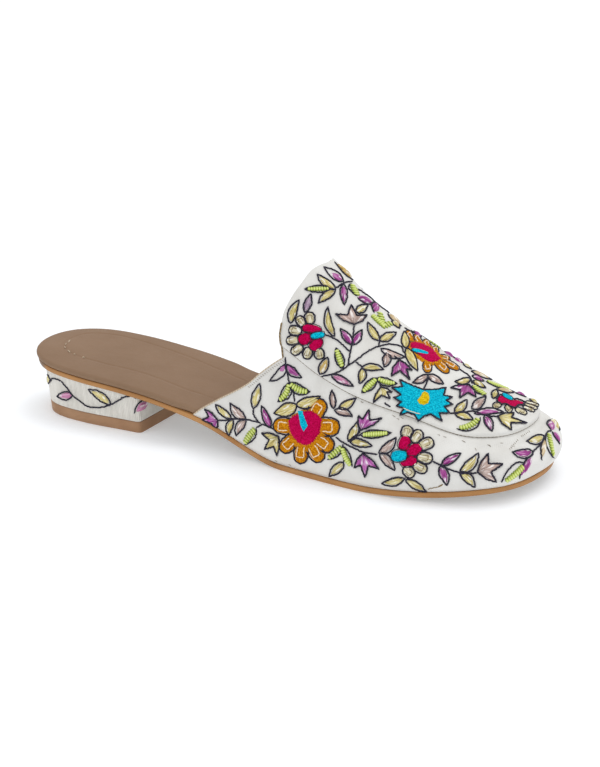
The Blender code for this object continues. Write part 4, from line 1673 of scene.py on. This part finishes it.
TULIPS = (
    # thread, base, three tips
    ("orchid", (218.5, 420.0), ((205.3, 408.5), (201.8, 420.0), (214.4, 430.3))),
    ("gold", (279.3, 436.6), ((262.1, 432.9), (265.0, 449.2), (277.3, 455.5))),
    ("orchid", (360.6, 430.7), ((358.7, 415.4), (369.2, 409.7), (382.1, 418.3))),
    ("orchid", (363.0, 453.2), ((354.4, 467.5), (365.4, 477.1), (379.7, 469.0))),
    ("dusty", (477.1, 471.8), ((488.2, 453.9), (502.9, 463.8), (496.3, 481.6))),
    ("dusty", (353.9, 325.0), ((335.5, 314.3), (350.8, 305.1), (366.6, 315.3))),
    ("gold", (380.7, 387.2), ((373.5, 403.0), (389.8, 399.1), (392.2, 392.4))),
    ("magenta", (398.8, 360.2), ((391.1, 376.5), (409.5, 380.2), (412.2, 370.9))),
    ("magenta", (468.6, 385.2), ((450.3, 388.3), (459.2, 398.6), (475.7, 397.7))),
    ("gold", (497.1, 416.9), ((513.7, 413.4), (526.6, 423.6), (511.0, 430.7))),
)

PETALS = (
    # thread, base, tip, width
    # the large flower on the side
    ("orange", (311.0, 420.0), (323.5, 399.5), 17.0),
    ("orange", (314.0, 426.5), (340.0, 427.4), 19.0),
    ("orange", (312.0, 434.0), (333.5, 449.5), 17.0),
    ("orange", (308.0, 437.0), (321.5, 462.0), 16.0),
    ("orange", (303.0, 437.0), (300.5, 463.7), 15.0),
    ("orange", (300.0, 434.0), (281.0, 450.8), 16.0),
    ("orange", (297.0, 427.0), (273.4, 425.0), 17.0),
    # the cream flower on the side
    ("cream", (405.6, 438.4), (408.4, 426.0), 12.0),
    ("cream", (413.2, 443.2), (420.6, 430.5), 11.5),
    ("cream", (418.0, 447.0), (433.5, 441.0), 12.0),
    ("cream", (417.0, 456.5), (432.6, 459.4), 11.5),
    ("cream", (413.5, 464.0), (426.8, 471.0), 10.5),
    ("cream", (404.6, 467.0), (413.4, 476.3), 11.0),
    # the flower on the tongue
    ("cream", (310.0, 324.5), (309.5, 312.5), 10.5),
    ("cream", (304.5, 326.0), (297.6, 317.0), 9.5),
    ("cream", (301.8, 331.8), (289.0, 329.4), 10.0),
    ("cream", (299.3, 339.8), (286.5, 340.8), 9.5),
    ("cream", (302.5, 345.8), (291.9, 353.4), 9.5),
    ("cream", (309.2, 347.5), (306.2, 358.9), 9.5),
    ("cream", (318.5, 348.5), (320.3, 359.4), 10.0),
)

RIDGE_PETALS = (
    # thread, base, tip, width
    # the flower on the ridge
    ("orange", (413.5, 342.0), (406.1, 330.6), 7.0),
    ("orange", (421.0, 345.0), (414.0, 334.5), 7.0),
    ("orange", (429.0, 348.5), (424.0, 339.5), 7.0),
    ("orange", (436.0, 354.0), (434.0, 346.5), 7.0),
    ("orange", (426.0, 361.0), (428.5, 373.0), 9.0),
    ("orange", (434.0, 360.0), (449.0, 373.0), 8.5),
    ("orange", (438.0, 358.5), (459.3, 369.7), 7.0),
    ("orange", (438.0, 356.5), (450.0, 359.5), 6.0),
    # the flower by the toe
    ("cream", (501.6, 404.0), (492.5, 406.8), 6.5),
    ("cream", (506.1, 405.3), (510.7, 412.2), 6.5),
    ("cream", (515.0, 408.9), (526.8, 413.6), 5.5),
    ("cream", (523.0, 406.5), (534.5, 411.5), 4.0),
    ("cream", (524.0, 404.0), (537.5, 409.0), 3.6),
    ("cream", (525.5, 401.8), (539.0, 406.0), 3.2),
)

SEPALS = (
    # thread, base, tip, width, bend
    ("gold", (297.0, 404.5), (274.1, 413.0), 13.0, 0.06),
    ("gold", (296.5, 404.5), (320.6, 396.6), 11.0, -0.08),
    ("gold", (406.0, 348.5), (404.0, 331.5), 8.0, 0.0),
    ("gold", (406.0, 348.5), (417.5, 371.0), 9.0, 0.0),
)

HEARTS = (
    # thread, base, tip, width
    ("crimson", (402.0, 450.8), (407.2, 435.8), 13.0),
    ("crimson", (406.0, 454.4), (422.0, 446.3), 14.0),
    ("crimson", (400.0, 462.8), (417.8, 460.0), 11.5),
    ("cyan", (391.2, 456.2), (408.0, 455.8), 12.5),
    ("crimson", (322.0, 331.6), (301.8, 327.2), 10.5),
    ("crimson", (313.0, 336.4), (298.0, 341.2), 12.8),
    ("crimson", (320.8, 338.0), (311.2, 350.5), 12.8),
    ("cyan", (325.2, 334.7), (310.3, 336.9), 7.5),
)

RIDGE_HEARTS = (
    # thread, base, tip, width
    ("cyan", (411.0, 350.0), (428.7, 355.0), 5.0),
    ("cyan", (501.4, 394.8), (512.4, 400.6), 4.4),
)

AREAS = (
    # thread, rise, lift, whether a cord runs round it, depth of its fringe, corners
    (
        "orange", 0.55, 0.0, False, 0.0,
        (
            (287.0, 425.0), (292.0, 415.0), (302.0, 409.5), (314.0, 409.0), (323.0, 416.0), (325.0, 427.0),
            (321.0, 437.0), (313.0, 446.0), (303.0, 447.0), (294.0, 442.0), (288.0, 433.0),
        ),
    ),
    (
        "crimson", 0.5, 0.65, False, 1.2,
        (
            (290.2, 420.5), (293.1, 416.5), (298.2, 414.2), (304.0, 411.5), (313.2, 410.8), (317.8, 413.6),
            (321.8, 419.4), (322.3, 426.2), (319.5, 434.3), (315.5, 440.0), (310.9, 444.0), (305.1, 444.6),
            (299.4, 442.3), (294.8, 437.7), (291.4, 432.0), (289.6, 425.1),
        ),
    ),
    (
        "cyan", 0.4, 1.15, False, 0.0,
        (
            (298.8, 410.6), (304.0, 410.8), (306.6, 417.4), (309.8, 425.6), (305.0, 432.0), (301.4, 424.6),
            (300.2, 417.4),
        ),
    ),
    (
        "cyan", 0.75, 0.0, True, 0.0,
        (
            (399.4, 380.0), (411.3, 385.7), (424.2, 390.5), (435.2, 390.0), (445.8, 388.1), (443.4, 395.8),
            (452.5, 397.7), (446.2, 401.0), (452.5, 405.1), (444.3, 407.3), (449.6, 413.5), (439.1, 413.5),
            (441.9, 421.6), (430.9, 414.9), (424.7, 416.3), (418.5, 421.6), (414.5, 415.2), (407.5, 413.0),
            (400.0, 415.4), (404.0, 408.9), (396.0, 406.3), (401.3, 402.5), (393.6, 398.2), (400.8, 395.3),
            (391.7, 388.1), (402.2, 387.2),
        ),
    ),
    (
        "yellow", 0.5, 0.7, False, 0.3,
        (
            (424.7, 392.0), (428.5, 394.4), (429.5, 399.1), (428.5, 404.4), (423.8, 406.3), (419.0, 404.9),
            (416.6, 401.5), (419.9, 397.2), (421.8, 393.4),
        ),
    ),
)

RIDGE_AREAS = (
    # thread, rise, lift, whether a cord runs round it, depth of its fringe, corners
    (
        "orange", 0.4, 0.0, False, 0.0,
        (
            (408.0, 341.5), (414.4, 339.5), (423.0, 341.0), (433.0, 346.0), (439.5, 352.5), (446.0, 360.5),
            (440.0, 365.0), (431.0, 366.5), (424.0, 364.0), (417.0, 359.0), (411.0, 353.5), (407.5, 348.0),
        ),
    ),
    (
        "crimson", 0.5, 0.35, False, 1.0,
        (
            (410.0, 343.3), (414.4, 342.1), (422.1, 344.0), (431.0, 348.4), (436.1, 354.2), (440.6, 359.3),
            (437.4, 361.8), (431.0, 363.1), (425.9, 361.2), (419.5, 356.7), (413.2, 351.6), (410.0, 347.8),
        ),
    ),
    (
        "crimson", 0.5, 0.1, True, 0.0,
        (
            (496.4, 399.6), (499.2, 395.8), (505.0, 396.6), (511.4, 399.8), (516.4, 399.6), (525.0, 402.8),
            (522.6, 405.8), (517.8, 406.0), (514.6, 408.6), (509.6, 407.4), (506.4, 405.0), (501.0, 405.0),
            (497.6, 402.8),
        ),
    ),
)


def sew_lines(needle, thread, lines, radius, height=0.0):
    for corners in lines:
        pixels = curve_through(corners)
        needle.start(pixels)
        needle.line(thread, pixels, radius, height=height)


def sew_flecks(needle):
    """Short ends of thread and rows of slanting stitches that lie on the cloth."""
    rows = [(x, y, degrees, FLECK_LENGTH) for x, y, degrees in FLECKS]
    for first, last, count in HATCHES:
        rows += [(x, y, HATCH_ANGLE, HATCH_LENGTH) for x, y in np.linspace(first, last, count)]
    for x, y, degrees, length in rows:
        angle = math.radians(degrees)
        half = np.array([math.cos(angle), math.sin(angle)]) * length / 2
        pixels = np.array([x, y]) + np.outer((-1, 0, 1), half)
        needle.start(pixels)
        needle.line("grey", pixels, FLECK_RADIUS)


def sew_seam(stitching):
    """A thin thread in the apron's seam, on both sides to the toe's tip."""
    start = SOLE_LENGTH * NOTCH_STATION
    stations = start + (SOLE_LENGTH - start) * np.sin(np.linspace(0, math.pi / 2, SEAM_STEPS))
    for side in (-1, 1):
        girths = side * seam_girth(stations)
        points = upper_point(stations, girths)
        stitching["grey"].add(*tube(points, upper_normal(stations, girths), SEAM_RADIUS))


def sew_collar(stitching):
    """Whip stitches by the notch, and a thread along the edge of the tongue and wings."""
    wing = np.linspace(NOTCH_GIRTH, 1, EDGE_STEPS)
    tongue = np.linspace(EDGE_START, NOTCH_GIRTH, EDGE_STEPS)
    run = run_along(upper_point(collar_station(wing), wing))
    places = np.interp(np.arange(TICK_PITCH, run[-1] * TICK_SHARE, TICK_PITCH), run, wing)
    for side in (-1, 1):
        for girth in places:
            stations = collar_station(girth) + np.linspace(*TICK_REACH, TICK_STEPS)
            girths = np.full_like(stations, side * girth)
            points = upper_point(stations, girths)
            stitching["grey"].add(*tube(points, upper_normal(stations, girths), TICK_RADIUS))
        edges = (("bronze", side * tongue, TONGUE_EDGE_RADIUS), ("linen", side * wing, EDGE_RADIUS))
        for thread, girths, radius in edges:
            points, normals = on_cloth(collar_station(girths), girths)
            stitching[thread].add(*tube(points, normals, radius))


def sew_leaves(upper, heel):
    for leaf in (*LEAVES, *HALF_CORDED_LEAVES):
        sew_leaf(upper, *leaf)
    for leaf in RIDGE_LEAVES:
        sew_ridge_leaf(upper, *leaf)
    for *leaf, filled in PART_FILLED_LEAVES:
        sew_leaf(upper, *leaf, filled=filled)
    for leaf in HEEL_LEAVES:
        sew_leaf(heel, *leaf)


def sew_flowers(upper, ridge):
    """Buds, then the petals, sepals and hearts of the open flowers."""
    for thread, base, tips in TULIPS:
        sew_area(upper, thread, tulip_corners(base, tips), LEAF_RISE, outlined=True, root=base)
    for needle, petals, rise, radius in (
        (upper, PETALS, PETAL_RISE, CORD_RADIUS),
        (ridge, RIDGE_PETALS, RIDGE_PETAL_RISE, RIDGE_CORD_RADIUS),
    ):
        for petal in petals:
            sew_petal(needle, *petal, rise, radius)
            sew_bow(needle, *BOW_THREADS[petal[0]], *petal[1:], rise)
    for sepal in SEPALS:
        sew_sepal(upper, *sepal)
    for needle, areas in ((upper, AREAS), (ridge, RIDGE_AREAS)):
        for thread, rise, lift, outlined, fringe, corners in areas:
            sew_area(needle, thread, corners, rise, lift, outlined, fringe)
    for heart in HEARTS:
        lift = HEART_LIFT[heart[0]]
        sew_petal(upper, *heart, PETAL_RISE, HEART_CORD_RADIUS, lift, lift + HEART_CORD_LIFT)
    for heart in RIDGE_HEARTS:
        sew_petal(ridge, *heart, RIDGE_HEART_RISE, HEART_CORD_RADIUS, RIDGE_HEART_LIFT, RIDGE_HEART_LIFT)


def make_embroidery():
    stitching = {thread: Stitching() for thread in THREADS}
    upper = Needle(upper_carrier(), stitching, repeats=True)
    heel = Needle(heel_carrier(), stitching, repeats=True)
    ridge = Needle(upper.carrier, stitching, repeats=False)
    footbed = Needle(footbed_carrier(), stitching, repeats=False)
    sew_lines(upper, "cord", STEMS, CORD_RADIUS)
    sew_lines(heel, "cord", HEEL_STEMS, CORD_RADIUS)
    sew_flecks(upper)
    sew_leaves(upper, heel)
    sew_flowers(upper, ridge)
    for thread, height, line in LOOSE_THREADS:
        sew_lines(upper, thread, [line], LOOSE_RADIUS, height)
    sew_lines(footbed, "linen", FOOTBED_STITCHES, FOOTBED_STITCH_RADIUS)
    sew_seam(stitching)
    sew_collar(stitching)
    for thread, sewn in stitching.items():
        if sewn.count:
            name = THREADS[thread].name
            points, uv = np.concatenate(sewn.points), np.concatenate(sewn.uv)
            add_piece(name, points, sewn.faces, [THREADS[thread]], uv, joined=False)


# Stage

def make_stage():
    glow = {"Emission Color": (1.0, 1.0, 1.0, 1.0), "Emission Strength": FLOOR_GLOW}
    graph = Graph("floor_white", {"Roughness": 0.9, "Specular IOR Level": 0.0, **glow})
    shade, colour = FLOOR_COLOURS
    graph.colour(graph.ramp(graph.noise(graph.solid(), scale=0.002), (0.0, shade), (1.0, colour)))
    bpy.ops.mesh.primitive_plane_add(size=FLOOR_SIZE * MM)
    floor = bpy.context.object
    floor.name = "floor"
    floor.data.materials.append(graph.material)
    floor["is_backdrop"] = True

    world = bpy.data.worlds.new("studio")
    bpy.context.scene.world = world
    world.use_nodes = True
    sky = world.node_tree.nodes["Background"]
    sky.inputs["Color"].default_value = (1.0, 1.0, 1.0, 1.0)
    sky.inputs["Strength"].default_value = SKY_STRENGTH

    light = bpy.data.lights.new("key", "SUN")
    light.energy = KEY_STRENGTH
    light.angle = math.radians(KEY_SPREAD)
    lamp = bpy.data.objects.new("key", light)
    lamp.rotation_euler = (-Vector(KEY_FROM)).to_track_quat("-Z", "Y").to_euler()
    bpy.context.collection.objects.link(lamp)
    bpy.context.scene.view_settings.view_transform = "Standard"


def make_camera():
    right, up, back, place = CAMERA_AXES
    data = bpy.data.cameras.new("photo_camera")
    data.sensor_fit = "VERTICAL"
    data.sensor_height = SENSOR
    data.lens = FOCAL_PIXELS * SENSOR / PHOTO_HEIGHT
    data.clip_start = CLIP_START * MM
    camera = bpy.data.objects.new("photo_camera", data)
    bpy.context.collection.objects.link(camera)
    turned = Matrix((right, up, back)).transposed().to_4x4()
    camera.matrix_world = Matrix.Translation(to_frame(place)) @ turned
    bpy.context.scene.camera = camera


make_camera()
make_stage()
make_upper()
make_apron()
make_outsole()
make_footbed()
make_heel()
make_embroidery()

boxes = {"cad": CAD_BOX, "visual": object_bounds()}
sizes = {name: [list(corner) for corner in box] for name, box in boxes.items()}
